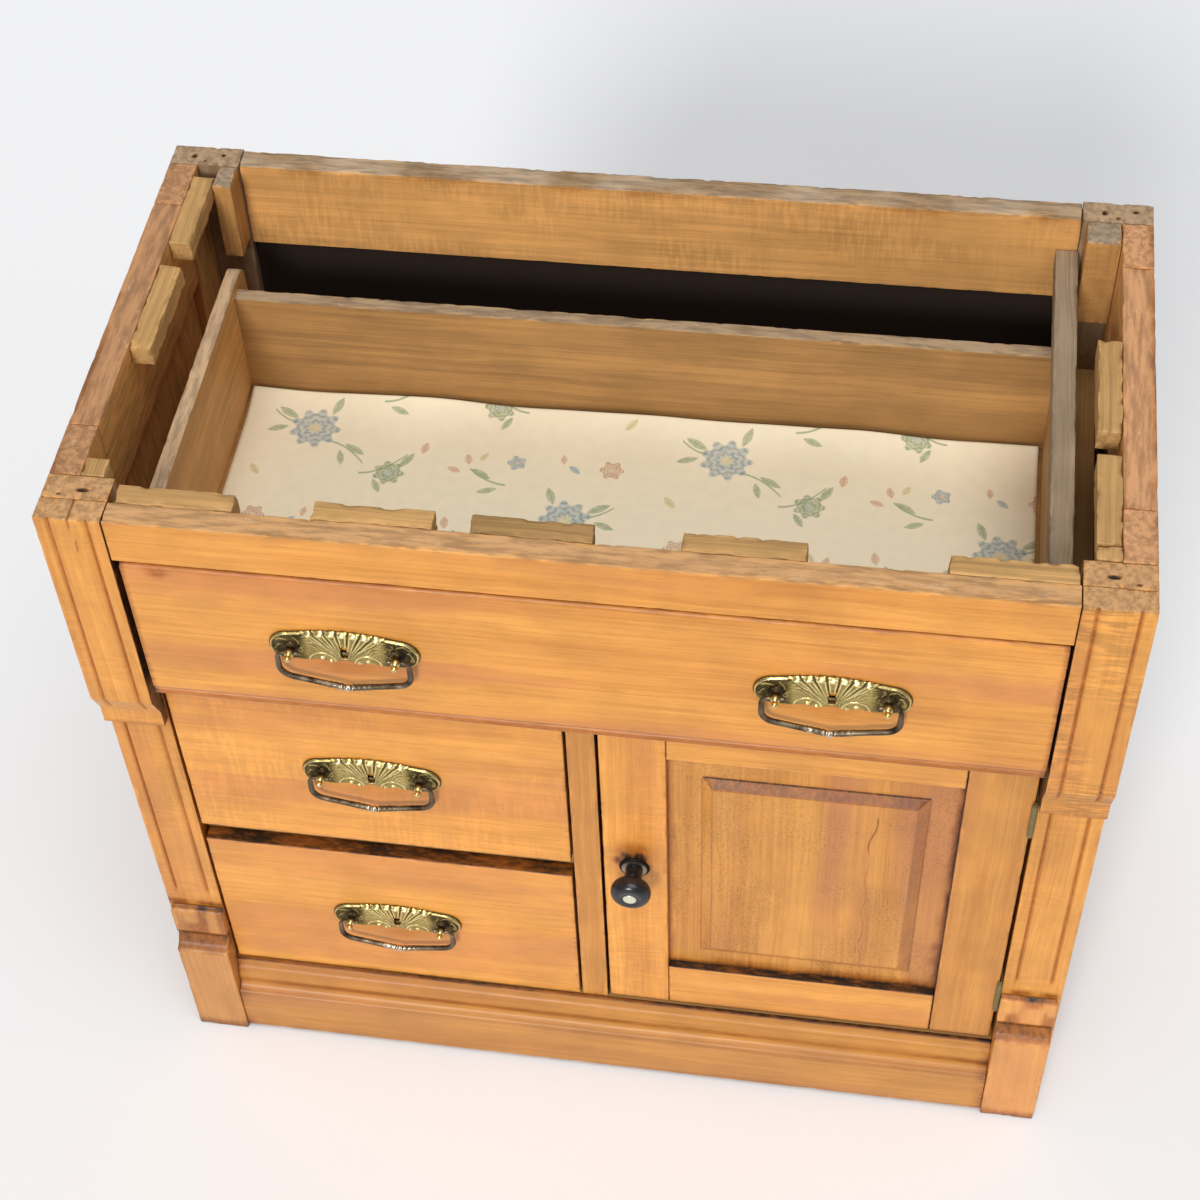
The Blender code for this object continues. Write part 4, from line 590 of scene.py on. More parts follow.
def finish(name):
    """The named finish, made when a piece first asks for it."""
    kept = bpy.data.materials.get(name)
    if kept is not None:
        return kept
    woods, pulls = settings("wood"), settings("pulls")
    light, dark, warm, top = (tuple(getattr(woods, key)) for key in (
        "front_light", "front_dark", "front_warm", "bare_top"))
    block, drawer, back, side = (tuple(getattr(woods, key)) for key in (
        "block_wood", "drawer_wood", "back_wood", "side_light"))
    ridge, field, hollow, bronze = (tuple(getattr(pulls, key)) for key in (
        "ridge", "field", "hollow", "bronze"))
    front = {"light": light, "dark": dark, "warm": warm, "inner": drawer, "top": top}
    hidden = {"light": drawer, "dark": tinted(drawer, 0.55), "warm": tinted(drawer, 0.8),
              "inner": drawer, "top": paint(172, 146, 116), "roughness": 0.62, "coat": 0.0}
    raw = {"light": paint(170, 140, 106), "dark": paint(120, 96, 70),
           "warm": paint(146, 118, 88), "roughness": 0.8, "coat": 0.0}
    made = {
        "honey_front": lambda: wood(name, **front),
        "curly_front": lambda: wood(name, **front, figure=0.11),
        "lace_front": lambda: wood(name, **{**front, "light": tinted(light, 0.9)}, figure=0.42),
        "blushing_front": lambda: wood(name, **{**front, "warm": paint(204, 128, 70)},
                                       contrast=1.1),
        "panel_front": lambda: wood(name, **{**front, "warm": paint(200, 126, 78)},
                                    contrast=1.2, pebble=0.24),
        "foot_front": lambda: wood(name, paint(224, 158, 84), paint(194, 130, 64),
                                   paint(206, 138, 76), drawer, top),
        "stained_side": lambda: wood(name, side, tinted(side, 0.62), paint(186, 112, 58), back,
                                     paint(200, 148, 104), contrast=1.2),
        "glue_block": lambda: wood(name, block, tinted(block, 0.5), tinted(block, 0.75), block,
                                   tinted(block, 1.1), contrast=1.2, roughness=0.75, coat=0.0),
        "dusty_bar": lambda: wood(name, paint(172, 150, 122), paint(122, 104, 82),
                                  paint(150, 130, 104), block, paint(160, 138, 110),
                                  contrast=1.3, roughness=0.8, coat=0.0),
        "post_end": lambda: wood(name, **raw, inner=back, top=paint(182, 152, 120)),
        "drawer_wood": lambda: wood(name, **hidden, contrast=1.2),
        "amber_back": lambda: wood(name, back, tinted(back, 0.6), tinted(back, 0.8),
                                   paint(150, 126, 96), paint(192, 168, 140),
                                   figure=0.16, roughness=0.55, coat=0.05),
        # Its inner colour, nearly black, is painted shade for the dark space behind the drawers
        "back_board": lambda: wood(name, **raw, inner=paint(58, 42, 30), top=top),
        "hidden_along": lambda: wood(name, **hidden, axis=0),
        "hidden_deep": lambda: wood(name, **hidden, axis=1),
        "lining_paper": lambda: lining_paper(name),
        "plate_brass": lambda: stamped(name, ridge, field, hollow),
        "bail_bronze": lambda: stamped(name, paint(206, 194, 174), bronze, paint(40, 32, 26)),
        "post_metal": lambda: stamped(name, paint(226, 198, 128), paint(128, 108, 70),
                                      paint(44, 36, 28), 0.3),
        "hinge_brass": lambda: stamped(name, paint(176, 166, 120), paint(150, 140, 98),
                                       paint(128, 118, 80), 0.45, 0.5, rub=1.2),
        "black_glaze": lambda: glaze(name),
        "rose_metal": lambda: stamped(name, paint(176, 160, 146), paint(120, 108, 98),
                                      paint(40, 36, 34), 0.35),
        "pale_metal": lambda: stamped(name, paint(214, 212, 192), paint(186, 184, 168),
                                      paint(110, 108, 100), 0.3, 0.35),
    }
    return made[name]()


def dress(look, *nodes):
    """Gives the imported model's own nodes a finish."""
    for node in nodes:
        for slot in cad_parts[node].material_slots:
            slot.material = finish(look)


def glaze(name):
    """Black glaze: a faint unevenness in its gloss, and dust in its dents."""
    graph = Graph(name)
    place = graph.node("ShaderNodeTexCoord", output="Object")
    cloud = graph.noise(place * 240.0, 2.0)
    return graph.finish(
        base_color=graph.mix(graph.rise(cloud, 0.5, 0.8), paint(8, 8, 9), paint(16, 18, 18)),
        roughness=graph.rise(cloud, 0.35, 0.75, 0.07, 0.16),
        normal=graph.bump(cloud, 0.0002, 0.25), specular_ior_level=0.5)


# The print of the lining paper


def leaf_mask(graph, u, v, middle, angle, length, width):
    """A pointed leaf: with p along it and q across it, both as shares of its half sizes,
    it fills p² + |q| < 1, softened at its rim."""
    cosine, sine = float(np.cos(np.radians(angle))), float(np.sin(np.radians(angle)))
    du, dv = u - middle[0], v - middle[1]
    along = (du * cosine + dv * sine) / (length / 2)
    across = (dv * cosine - du * sine) / (width / 2)
    rim = along * along + graph.maths("ABSOLUTE", across)
    return graph.rise(rim, 0.86, 1.06, 1.0, 0.0)


def bloom_mask(graph, u, v, middle, radius, petals):
    """A round bloom, as its mask, the distance r over the radius, and its rings. With the wave
    w = cos(petals x angle), it fills r / radius < 0.91 + 0.14 w, softened at its rim, and its
    rings are sin(21 r / radius + 1.4 w)."""
    du, dv = u - middle[0], v - middle[1]
    far = graph.maths("SQRT", du * du + dv * dv) / radius
    turn = graph.maths("ARCTAN2", dv, du)
    wave = graph.maths("COSINE", turn * float(petals))
    inside = graph.rise(far - wave * 0.14, 0.84, 0.98, 1.0, 0.0)
    rings = graph.maths("SINE", far * 21.0 + wave * 1.4)
    return inside, far, rings


def stem_mask(graph, u, v, start, bend, reach, width):
    """A stem: the curve v = v0 + bend x (u - u0)² from u0 over its reach, of a given width."""
    du = u - start[0]
    off = graph.maths("ABSOLUTE", v - start[1] - du * du * bend)
    line = graph.rise(off, width * 0.35, width, 1.0, 0.0)
    inside = graph.rise(graph.maths("ABSOLUTE", du - reach / 2), abs(reach) / 2 - 0.001,
                        abs(reach) / 2, 1.0, 0.0)
    return line * inside


def lining_paper(name):
    """Cream paper with a half-drop repeat of round blooms, stems, leaves and small petals. The
    place in the repeat is the fraction of the place on the sheet over the repeat's size, and
    every second column is half a repeat lower and turned over."""
    looks = settings("liner")
    graph = Graph(name)
    sheet = graph.mark("sheet")
    across, up, _ = graph.parts(sheet)
    drawn, squat = 0.136, 0.92
    width, height = looks.repeat, looks.repeat * squat
    odd = graph.maths("PINGPONG", graph.maths("FLOOR", across / width), 1.0)
    u = (graph.maths("FRACT", across / width) - 0.5) * drawn * (1 - odd * 2.0)
    v = (graph.maths("FRACT", up / height + odd * 0.5) - 0.5) * (drawn * squat)
    leaf, bloom, berry = tuple(looks.leaf), tuple(looks.bloom), tuple(looks.berry)
    straw = paint(226, 208, 150)
    soft = graph.rise(graph.noise(sheet * 220.0, 3.0), 0.3, 0.7, 0.85, 0.55)
    wash = graph.noise(sheet * 90.0, 3.0)
    colour = graph.mix(graph.rise(wash, 0.3, 0.7), tuple(looks.ground),
                       tinted(looks.ground, 0.965))
    stems = (((-0.030, 0.004), 26.0, -0.020), ((-0.012, -0.010), -20.0, 0.030),
             ((0.022, 0.026), 18.0, 0.026), ((0.016, -0.036), 22.0, 0.030))
    for start, bend, reach in stems:
        colour = graph.mix(stem_mask(graph, u, v, start, bend, reach, 0.0011) * 0.85,
                           colour, leaf)
    leaves = (
        ((-0.040, 0.012), 150, 0.017, 0.0060, leaf),
        ((-0.045, -0.002), 200, 0.015, 0.0055, leaf),
        ((-0.008, 0.020), 70, 0.016, 0.0058, leaf),
        ((0.010, -0.016), 330, 0.017, 0.0056, leaf),
        ((0.002, -0.024), 285, 0.014, 0.0048, leaf),
        ((0.040, 0.034), 30, 0.016, 0.0056, leaf),
        ((0.034, 0.020), 340, 0.014, 0.0050, leaf),
        ((0.046, -0.022), 60, 0.016, 0.0056, leaf),
        ((0.030, -0.046), 300, 0.013, 0.0050, leaf),
        ((0.050, 0.046), 75, 0.010, 0.0052, berry),
        ((0.058, 0.036), 20, 0.010, 0.0050, berry),
        ((0.040, 0.049), 120, 0.009, 0.0046, straw),
        ((0.056, -0.010), 80, 0.011, 0.0056, berry),
        ((-0.020, 0.044), 40, 0.010, 0.0048, bloom),
        ((-0.012, 0.052), 85, 0.009, 0.0044, berry),
        ((-0.052, -0.040), 130, 0.012, 0.0054, straw),
    )
    for middle, angle, length, breadth, shade in leaves:
        mask = leaf_mask(graph, u, v, middle, angle, length, breadth)
        vein = leaf_mask(graph, u, v, middle, angle, length * 0.9, breadth * 0.22)
        colour = graph.mix(mask * soft, colour, shade)
        colour = graph.mix(vein * 0.3, colour, tinted(shade, 0.62))
    blooms = (((-0.020, 0.000), 0.0165, 9, bloom, straw), ((0.036, -0.034), 0.0100, 7, leaf, bloom),
              ((-0.044, 0.046), 0.0078, 6, berry, straw), ((0.018, 0.046), 0.0062, 5, bloom, berry))
    for middle, radius, petals, shade, heart in blooms:
        inside, far, rings = bloom_mask(graph, u, v, middle, radius, petals)
        petal = graph.mix(graph.rise(rings, -0.5, 0.9), tinted(shade, 1.12), tinted(shade, 0.62))
        petal = graph.mix(graph.rise(far, 0.10, 0.34, 0.9, 0.0), petal, heart)
        colour = graph.mix(inside * soft, colour, petal)
    fibres = graph.noise(sheet * 1400.0, 2.0)
    return graph.finish(base_color=colour, roughness=0.72,
                        normal=graph.bump(fibres, 0.0001, 0.3))


# Profiles that boards are carved to


def quarter(start, end, hollow=True, steps=6):
    """A quarter round from one (height, depth) to another. A hollow one leaves the start
    along the height and reaches the end along the depth."""
    t = np.linspace(0, np.pi / 2, steps)
    first, second = (np.sin(t), 1 - np.cos(t)) if hollow else (1 - np.cos(t), np.sin(t))
    return [(start[0] + (end[0] - start[0]) * a, start[1] + (end[1] - start[1]) * b)
            for a, b in zip(first, second)]


def carved(low, high, profile=(), grooves=(), ends=None, dirt_and_shade=None):
    """A shape for board(): its front is set back by the profile's depth at each height, and
    by V grooves, depth = GROOVE_DEPTH - distance, at the given places along X. ends are the
    two heights where the grooves run out. The set-back fades to nothing at the rear face.
    The grooves get painted shade, and the last argument gives dirt and painted shade for X, the height
    and the points."""
    fade = 0.004

    def shape(points, facing):
        """The set-back as a shift along Y, and the painted shade of the grooves with the given dirt
        and painted shade.
        """
        x, y, z = points.T
        shift, grime_and_shade = unmoved(points)
        depth = np.zeros(len(points))
        if len(profile):
            heights, depths = np.array(sorted(profile)).T
            depth = np.interp(z, heights, depths)
        front = turned_to(facing, "f")
        for middle in grooves:
            run = smooth(z, ends[0], ends[0] + fade) * (1 - smooth(z, ends[1] - fade, ends[1]))
            v = np.clip(1 - np.abs(x - middle) / GROOVE_DEPTH, 0, 1) * run
            depth = depth + GROOVE_DEPTH * v
            # Painted shade in the groove, on the front only
            grime_and_shade = np.maximum(grime_and_shade, 0.5 * v ** 1.3 * front)
        if dirt_and_shade is not None:
            grime_and_shade = np.maximum(grime_and_shade, dirt_and_shade(x, z, points) * (1 - turned_to(facing, "y")))
        shift[:, 1] = depth * (high[1] - y) / (high[1] - low[1])
        return shift, grime_and_shade

    return shape


def pitted(pits, inner=None):
    """A shape for board() with dark holes, (x, y, half length, half width), in its top. A
    hole is 1.2 mm deep and rises smoothly to its rim. inner is a shape that comes first."""
    depth = 0.0012

    def shape(points, facing):
        """The holes' depth as a shift down, and their grime."""
        shift, grime_and_shade = inner(points, facing) if inner is not None else unmoved(points)
        upper = smooth(facing[:, 2], 0.5, 0.9)
        for x, y, half_x, half_y in pits:
            far = np.hypot((points[:, 0] - x) / half_x, (points[:, 1] - y) / half_y)
            hole = (1 - smooth(far, 0.55, 1.1)) * upper
            shift[:, 2] -= depth * hole
            grime_and_shade = np.maximum(grime_and_shade, hole)
        return shift, grime_and_shade

    return shape


# The pieces, group by group


class WASHSTAND_OT_posts(bpy.types.Operator):
    """Front posts, upper blocks and foot blocks, with their V grooves, slopes and coves"""

    bl_idname = "washstand.posts"
    bl_label = "Posts and blocks"

    def execute(self, context):
        for word, sign, inward in (("left", -1, "x"), ("right", 1, "l")):
            self.post(word, sign, inward)
            self.upper_block(word, inward)
            self.foot(word)
        return {"FINISHED"}

    def post(self, word, sign, inward):
        """A post with two stopped grooves, nail holes in its top, and dirt and painted shade above its
        foot.
        """
        node = "front_post_" + word
        low, high = span(node)
        middle = (low[0] + high[0]) / 2
        pits = [(middle - 0.004 * sign, CASE_FACE + 0.009, 0.0055, 0.0022),
                (middle + 0.012 * sign, CASE_FACE + 0.004, 0.002, 0.0014)]

        def darkening(x, z, points):
            """Patchy dirt and painted shade where the post meets its foot, and painted shade in a
            trace below the block.
            """
            above_foot = 0.9 * hump(z - 0.181, 0.006) * smooth(drift(points, 0.012, 3), -0.9, 0.3)
            return above_foot + 0.30 * hump(z - 0.452, 0.012)

        grooves = (low[0] + GROOVE_MARGIN, high[0] - GROOVE_MARGIN)
        grooved = carved(low, high, grooves=grooves, ends=(0.196, 0.476), dirt_and_shade=darkening)
        across, deep = (np.arange(low[axis], high[axis], 0.0013) for axis in (0, 1))
        # The side that faces the drawers is painted dark as shade
        board(node, low, high, 2, "curly_front", "case", [node], step=(0.004, 0.005, 0.007),
              shape=pitted(pits, grooved),
              lines=(list(across) + near(grooves, GROOVE_DEPTH), deep, ()), bare="Zy",
              tone=-0.08, shaded_faces=inward, dust=0.5)

    def upper_block(self, word, inward):
        """A block that slopes back to the post at its foot, with two grooves and, on the
        left, a crack in its top."""
        node = "upper_block_" + word
        low, high = span(node)
        left = word == "left"
        crack = low[0] + 0.027

        def darkening(x, z, points):
            """Dirt and painted shade at the foot, and a crack 27 mm from the side that wavers as
            sin(60 z).
            """
            found = 0.35 * hump(z - 0.456, 0.006)
            if left:
                line = crack + 0.0015 * np.sin(z * 60)
                found = np.maximum(found, 0.6 * hump(x - line, 0.0009) * smooth(z, 0.655, 0.668))
            return found

        bend, flush, set_back = 0.474, 0.498, 0.010
        slope = [(low[2], set_back), (bend, set_back), (flush, 0.0), (high[2], 0.0)]
        rings = [height + offset for height in (bend, flush) for offset in (-0.002, 0, 0.002)]
        grooves = (low[0] + GROOVE_MARGIN, high[0] - GROOVE_MARGIN)
        # The side that faces the drawers is painted dark as shade
        board(node, low, high, 2, "curly_front" if left else "lace_front", "case", [node],
              step=(0.0018, 0.005, 0.006), slot="figured_wood", wear=0.0005,
              shape=carved(low, high, slope, grooves, ends=(0.476, TOP + 0.02), dirt_and_shade=darkening),
              lines=(near(grooves, GROOVE_DEPTH), (), rings), bare="Z", shaded_faces=inward,
              tone=-0.03 if left else -0.06)

    def foot(self, word):
        """A foot: a plain block, a quarter-round shoulder, a neck, and a cove up to the post."""
        node = "foot_block_" + word
        low, high = span(node)
        base = low[1] - FRONT
        lip, neck, back = (depth - base for depth in (0.014, 0.0125, 0.0185))
        shoulder, collar, cove, crown = 0.128, 0.144, 0.174, 0.180
        profile = ([(0, 0.0), (shoulder, 0.0)]
                   + quarter((shoulder, 0.0), (collar, lip), hollow=False)
                   + [(0.1441, neck), (cove, neck)] + quarter((cove, neck), (crown, back)))

        def darkening(x, z, points):
            """Darkening on the shoulder and near the floor, painted shade in the bends, and dirt in
            streaks on the neck.
            """
            rubbed = 0.60 * smooth(z, 0.1275, 0.1295) * (1 - smooth(z, 0.1432, 0.1443))
            bends = (0.8 * hump(z - 0.1445, 0.003) + 0.60 * hump(z - 0.181, 0.005)
                     + 0.5 * hump(z - 0.1285, 0.002) * smooth(drift(points, 0.006, 8), -0.4, 0.4))
            drips = smooth(drift(points * (1, 1, 0.3), 0.009, 6), 0.0, 0.5)
            found = bends + 0.42 * smooth(z, 0.144, 0.147) * drips + 0.6 * hump(z, 0.018)
            return np.maximum(rubbed, found) * smooth(drift(points, 0.010, 5), -2.2, 0.0)

        board(node, low, high, 2, "foot_front", "case", [node], step=(0.004, 0.005, 0.004),
              rounding=0.0016, shape=carved(low, high, profile, dirt_and_shade=darkening),
              lines=((), (), sorted(height for height, _ in profile)), wear=0.0005,
              tone=-0.18 if word == "left" else 0.04)


class WASHSTAND_OT_back(bpy.types.Operator):
    """Back posts with their corner blocks, and the back's rails and boards"""

    bl_idname = "washstand.back"
    bl_label = "Back"

    def execute(self, context):
        rear = span("back_panel")[1][1] + 0.0075
        post_face = 0.1868
        for word, block_x, block_foot in (("left", (-0.3404, -0.3254), 0.632),
                                          ("right", (0.3322, 0.3577), 0.624)):
            node = "back_post_" + word
            low, high = span(node)
            middle = (low[0] + high[0]) / 2
            pits = [(middle - 0.010, 0.197, 0.0026, 0.0030),
                    (middle + 0.013, 0.200, 0.0024, 0.0018), (middle, 0.192, 0.0016, 0.0016)]
            fine = (np.arange(low[0], high[0], 0.0015), np.arange(0.187, rear, 0.0015), ())
            # The front faces, inside the case, are painted dark as shade, which fades out up to 0.62 m
            board(node, (low[0], post_face, low[2]), high, 2, "post_end", "case", [node],
                  slot="raw_edge", step=(0.006, 0.006, 0.010), shape=pitted(pits), lines=fine,
                  wear=0.0012, bare="Z", shaded_faces="f", deep=0.62)
            board("corner_block_" + word, (block_x[0], low[1], block_foot),
                  (block_x[1], post_face, high[2]), 2, "amber_back", "case", [node],
                  slot="back_wood", step=0.0035, wear=0.0012, bare="Z", tone=-0.26)
        low, high = span("back_top_rail")

        def darkening(x, z, points):
            """Patchy dirt along the upper edge."""
            return 0.30 * hump(high[2] - z, 0.012) * smooth(drift(points, 0.03, 4), -0.8, 0.5)

        board("back_top_rail", low, high, 0, "amber_back", "case", ["back_top_rail"],
              slot="back_wood", step=(0.004, 0.003, 0.005), wear=0.0011, bare="Zy",
              shape=carved(low, high, dirt_and_shade=darkening))
        board("back_bottom_rail", *span("back_bottom_rail"), 0, "amber_back", "case",
              ["back_bottom_rail"], slot="back_wood", step=0.010, bare="y")
        self.boards()
        return {"FINISHED"}

    def boards(self):
        """Four upright boards edge to edge, as one panel with three joints."""
        low, high = span("back_panel")
        joints = low[0] + (high[0] - low[0]) * np.array((0.25, 0.5, 0.75))
        half_width = 0.0016

        def jointed(points, facing):
            """A joint is a V in the rear face: 1.5 mm x (1 - distance / half its width)."""
            far = np.abs(points[:, :1] - joints).min(axis=1)
            gap = np.clip(1 - far / half_width, 0, 1) * turned_to(facing, "y")
            shift, _ = unmoved(points)
            shift[:, 1] = -0.0015 * gap
            return shift, 0.8 * gap

        # The inner face is painted nearly black, and darker still, as the shade behind the drawers
        board("back_panel", low, high, 2, "back_board", "case", ["back_panel"],
              slot="back_wood", step=(0.006, 0.004, 0.010), shape=jointed,
              lines=(near(joints, half_width), (), ()), bare="f", shaded_faces="f", dust=0.95)


class WASHSTAND_OT_sides(bpy.types.Operator):
    """Framed sides with their panels, and the glue blocks along their upper edges"""

    bl_idname = "washstand.sides"
    bl_label = "Sides"

    def execute(self, context):
        inner, outer, block_inner = 0.358, 0.381, 0.3407
        stile, joint = 0.048, 0.0002
        runs = {"left": ((0.043, 0.060), (0.171, 0.261), (0.286, 0.364)),
                "right": ((0.043, 0.0555), (0.0575, 0.139), (0.160, 0.251))}

        def edged(points, facing):
            """Old stain along the outer edge of the bare top: a hump of the distance from
            it, times smooth random values."""
            outward = hump(np.abs(points[:, 0]) - outer, 0.009)
            patchy = smooth(drift(points, 0.05, 3) + 0.4 * drift(points, 0.011, 5), -0.4, 0.5)
            return np.zeros_like(points), 0.38 * outward * patchy * turned_to(facing, "z")

        for word, sign, inward, deep, tone in (("left", -1, "x", 0.52, -0.04),
                                               ("right", 1, "l", 0.64, 0.2)):
            node = "side_frame_" + word
            low, high = span(node)
            first_x, last_x = sorted((inner * sign, outer * sign))
            start, end = low[1] + stile, high[1] - stile
            for name, along, y, z in (
                    ("side_stile_front_", 2, (low[1], start), (low[2], TOP)),
                    ("side_stile_rear_", 2, (end, high[1]), (low[2], TOP)),
                    ("side_rail_top_", 1, (start + joint, end - joint), (0.625, TOP)),
                    ("side_rail_bottom_", 1, (start + joint, end - joint), (0.040, 0.120))):
                # Inner faces are painted dark as shade, which fades out up to the height deep
                board(name + word, (first_x, y[0], z[0]), (last_x, y[1], z[1]), along,
                      "stained_side", "case", [node], slot="side_wood",
                      step=(0.005, 0.006, 0.006), bare="Z" + inward, shaded_faces=inward, deep=deep,
                      wear=0.0007, shape=edged, tone=tone)
            first_x, last_x = sorted((inner * sign, block_inner * sign))
            for number, (start, end) in enumerate(runs[word]):
                board(f"side_block_{word}_{number}", (first_x, FRONT + start, TOP - BLOCK_HEIGHT),
                      (last_x, FRONT + end, TOP), 1, "glue_block", "case", [node],
                      slot="raw_edge", step=0.0024, rounding=0.0008, wear=0.0016, tone=-0.05)
            node = "side_panel_" + word
            # The inner face is painted dark as shade, which fades out up to the height deep
            board(node, *span(node), 2, "stained_side", "case", [node], slot="side_wood",
                  step=(0.004, 0.008, 0.008), bare=inward, shaded_faces=inward, deep=deep)
        return {"FINISHED"}


class WASHSTAND_OT_front_frame(bpy.types.Operator):
    """Top rail with its glue blocks, the divider, the moulded base board and the kicker"""

    bl_idname = "washstand.front_frame"
    bl_label = "Front rails and base"

    def execute(self, context):
        low, high = span("front_top_rail")
        board("front_top_rail", low, (high[0], CASE_FACE, high[2]), 0, "honey_front", "case",
              ["front_top_rail"], step=(0.003, 0.003, 0.003), wear=0.0007, bare="Zy",
              bleed=0.0015)
        half_length, thick = 0.0425, 0.017
        for number, (middle, tone) in enumerate((
                (-0.2855, -0.05), (-0.1450, -0.1), (-0.0345, -0.35), (0.1100, -0.08),
                (0.2880, 0.04))):
            board(f"front_glue_block_{number}",
                  (middle - half_length, CASE_FACE, TOP - BLOCK_HEIGHT),
                  (middle + half_length, CASE_FACE + thick, TOP), 0, "glue_block", "case",
                  ["front_top_rail"], slot="raw_edge", step=0.0024, rounding=0.0008,
                  wear=0.0018, tone=tone)
        # Its two sides, in the gaps beside the drawers, are painted dark as shade
        board("divider_stile", *span("divider_stile"), 2, "blushing_front", "case",
              ["divider_stile"], step=(0.004, 0.006, 0.006), tone=-0.20, shaded_faces="xl")
        self.base()
        board("kicker", *span("kicker"), 1, "dusty_bar", "case", ["kicker"], slot="raw_edge",
              step=(0.003, 0.006, 0.003), wear=0.0012)
        return {"FINISHED"}

    def base(self):
        """The base board: a flat, a quarter round, a small step, and a cove up to its top."""
        low, high = span("base_board")
        flat, lip, back = (depth - (low[1] - FRONT) for depth in (0.005, 0.013, 0.017))
        shoulder, collar, cove, crown = 0.063, 0.071, 0.074, 0.090
        profile = ([(0.0, flat), (shoulder, flat)]
                   + quarter((shoulder, flat), (collar, lip), hollow=False)
                   + [(cove, lip)] + quarter((cove, lip), (crown, back)) + [(0.102, back)])

        def darkening(x, z, points):
            """Dirt and painted shade in the moulding, along both edges and at both ends, in long
            patches.
            """
            found = (0.50 * hump(z - 0.0725, 0.006) + 0.28 * hump(z - 0.060, 0.006)
                     + 0.25 * hump(z - 0.006, 0.010) + 0.80 * hump(z - 0.102, 0.004)
                     + 0.35 * hump(x - low[0], 0.012) + 0.35 * hump(high[0] - x, 0.012))
            return found * smooth(drift(points * (0.1, 1, 1), 0.012, 4), -1.4, 0.5)

        board("base_board", low, high, 0, "honey_front", "case", ["base_board"],
              step=(0.006, 0.004, 0.004), lines=((), (), [height for height, _ in profile]),
              tone=-0.30, shape=carved(low, high, profile, dirt_and_shade=darkening))


class WASHSTAND_OT_insides(bpy.types.Operator):
    """Finishes of the inner pieces that keep their plain shapes"""

    bl_idname = "washstand.insides"
    bl_label = "Inner pieces"

    def execute(self, context):
        dress("hidden_along", "bottom_rail", "top_drawer_rail", "small_drawer_rail",
              "top_drawer_bottom", "upper_drawer_bottom", "lower_drawer_bottom",
              "cupboard_floor")
        dress("hidden_deep", "partition", "top_runner_left", "top_runner_right",
              "small_drawer_runner", "upper_drawer_box", "lower_drawer_box")
        return {"FINISHED"}


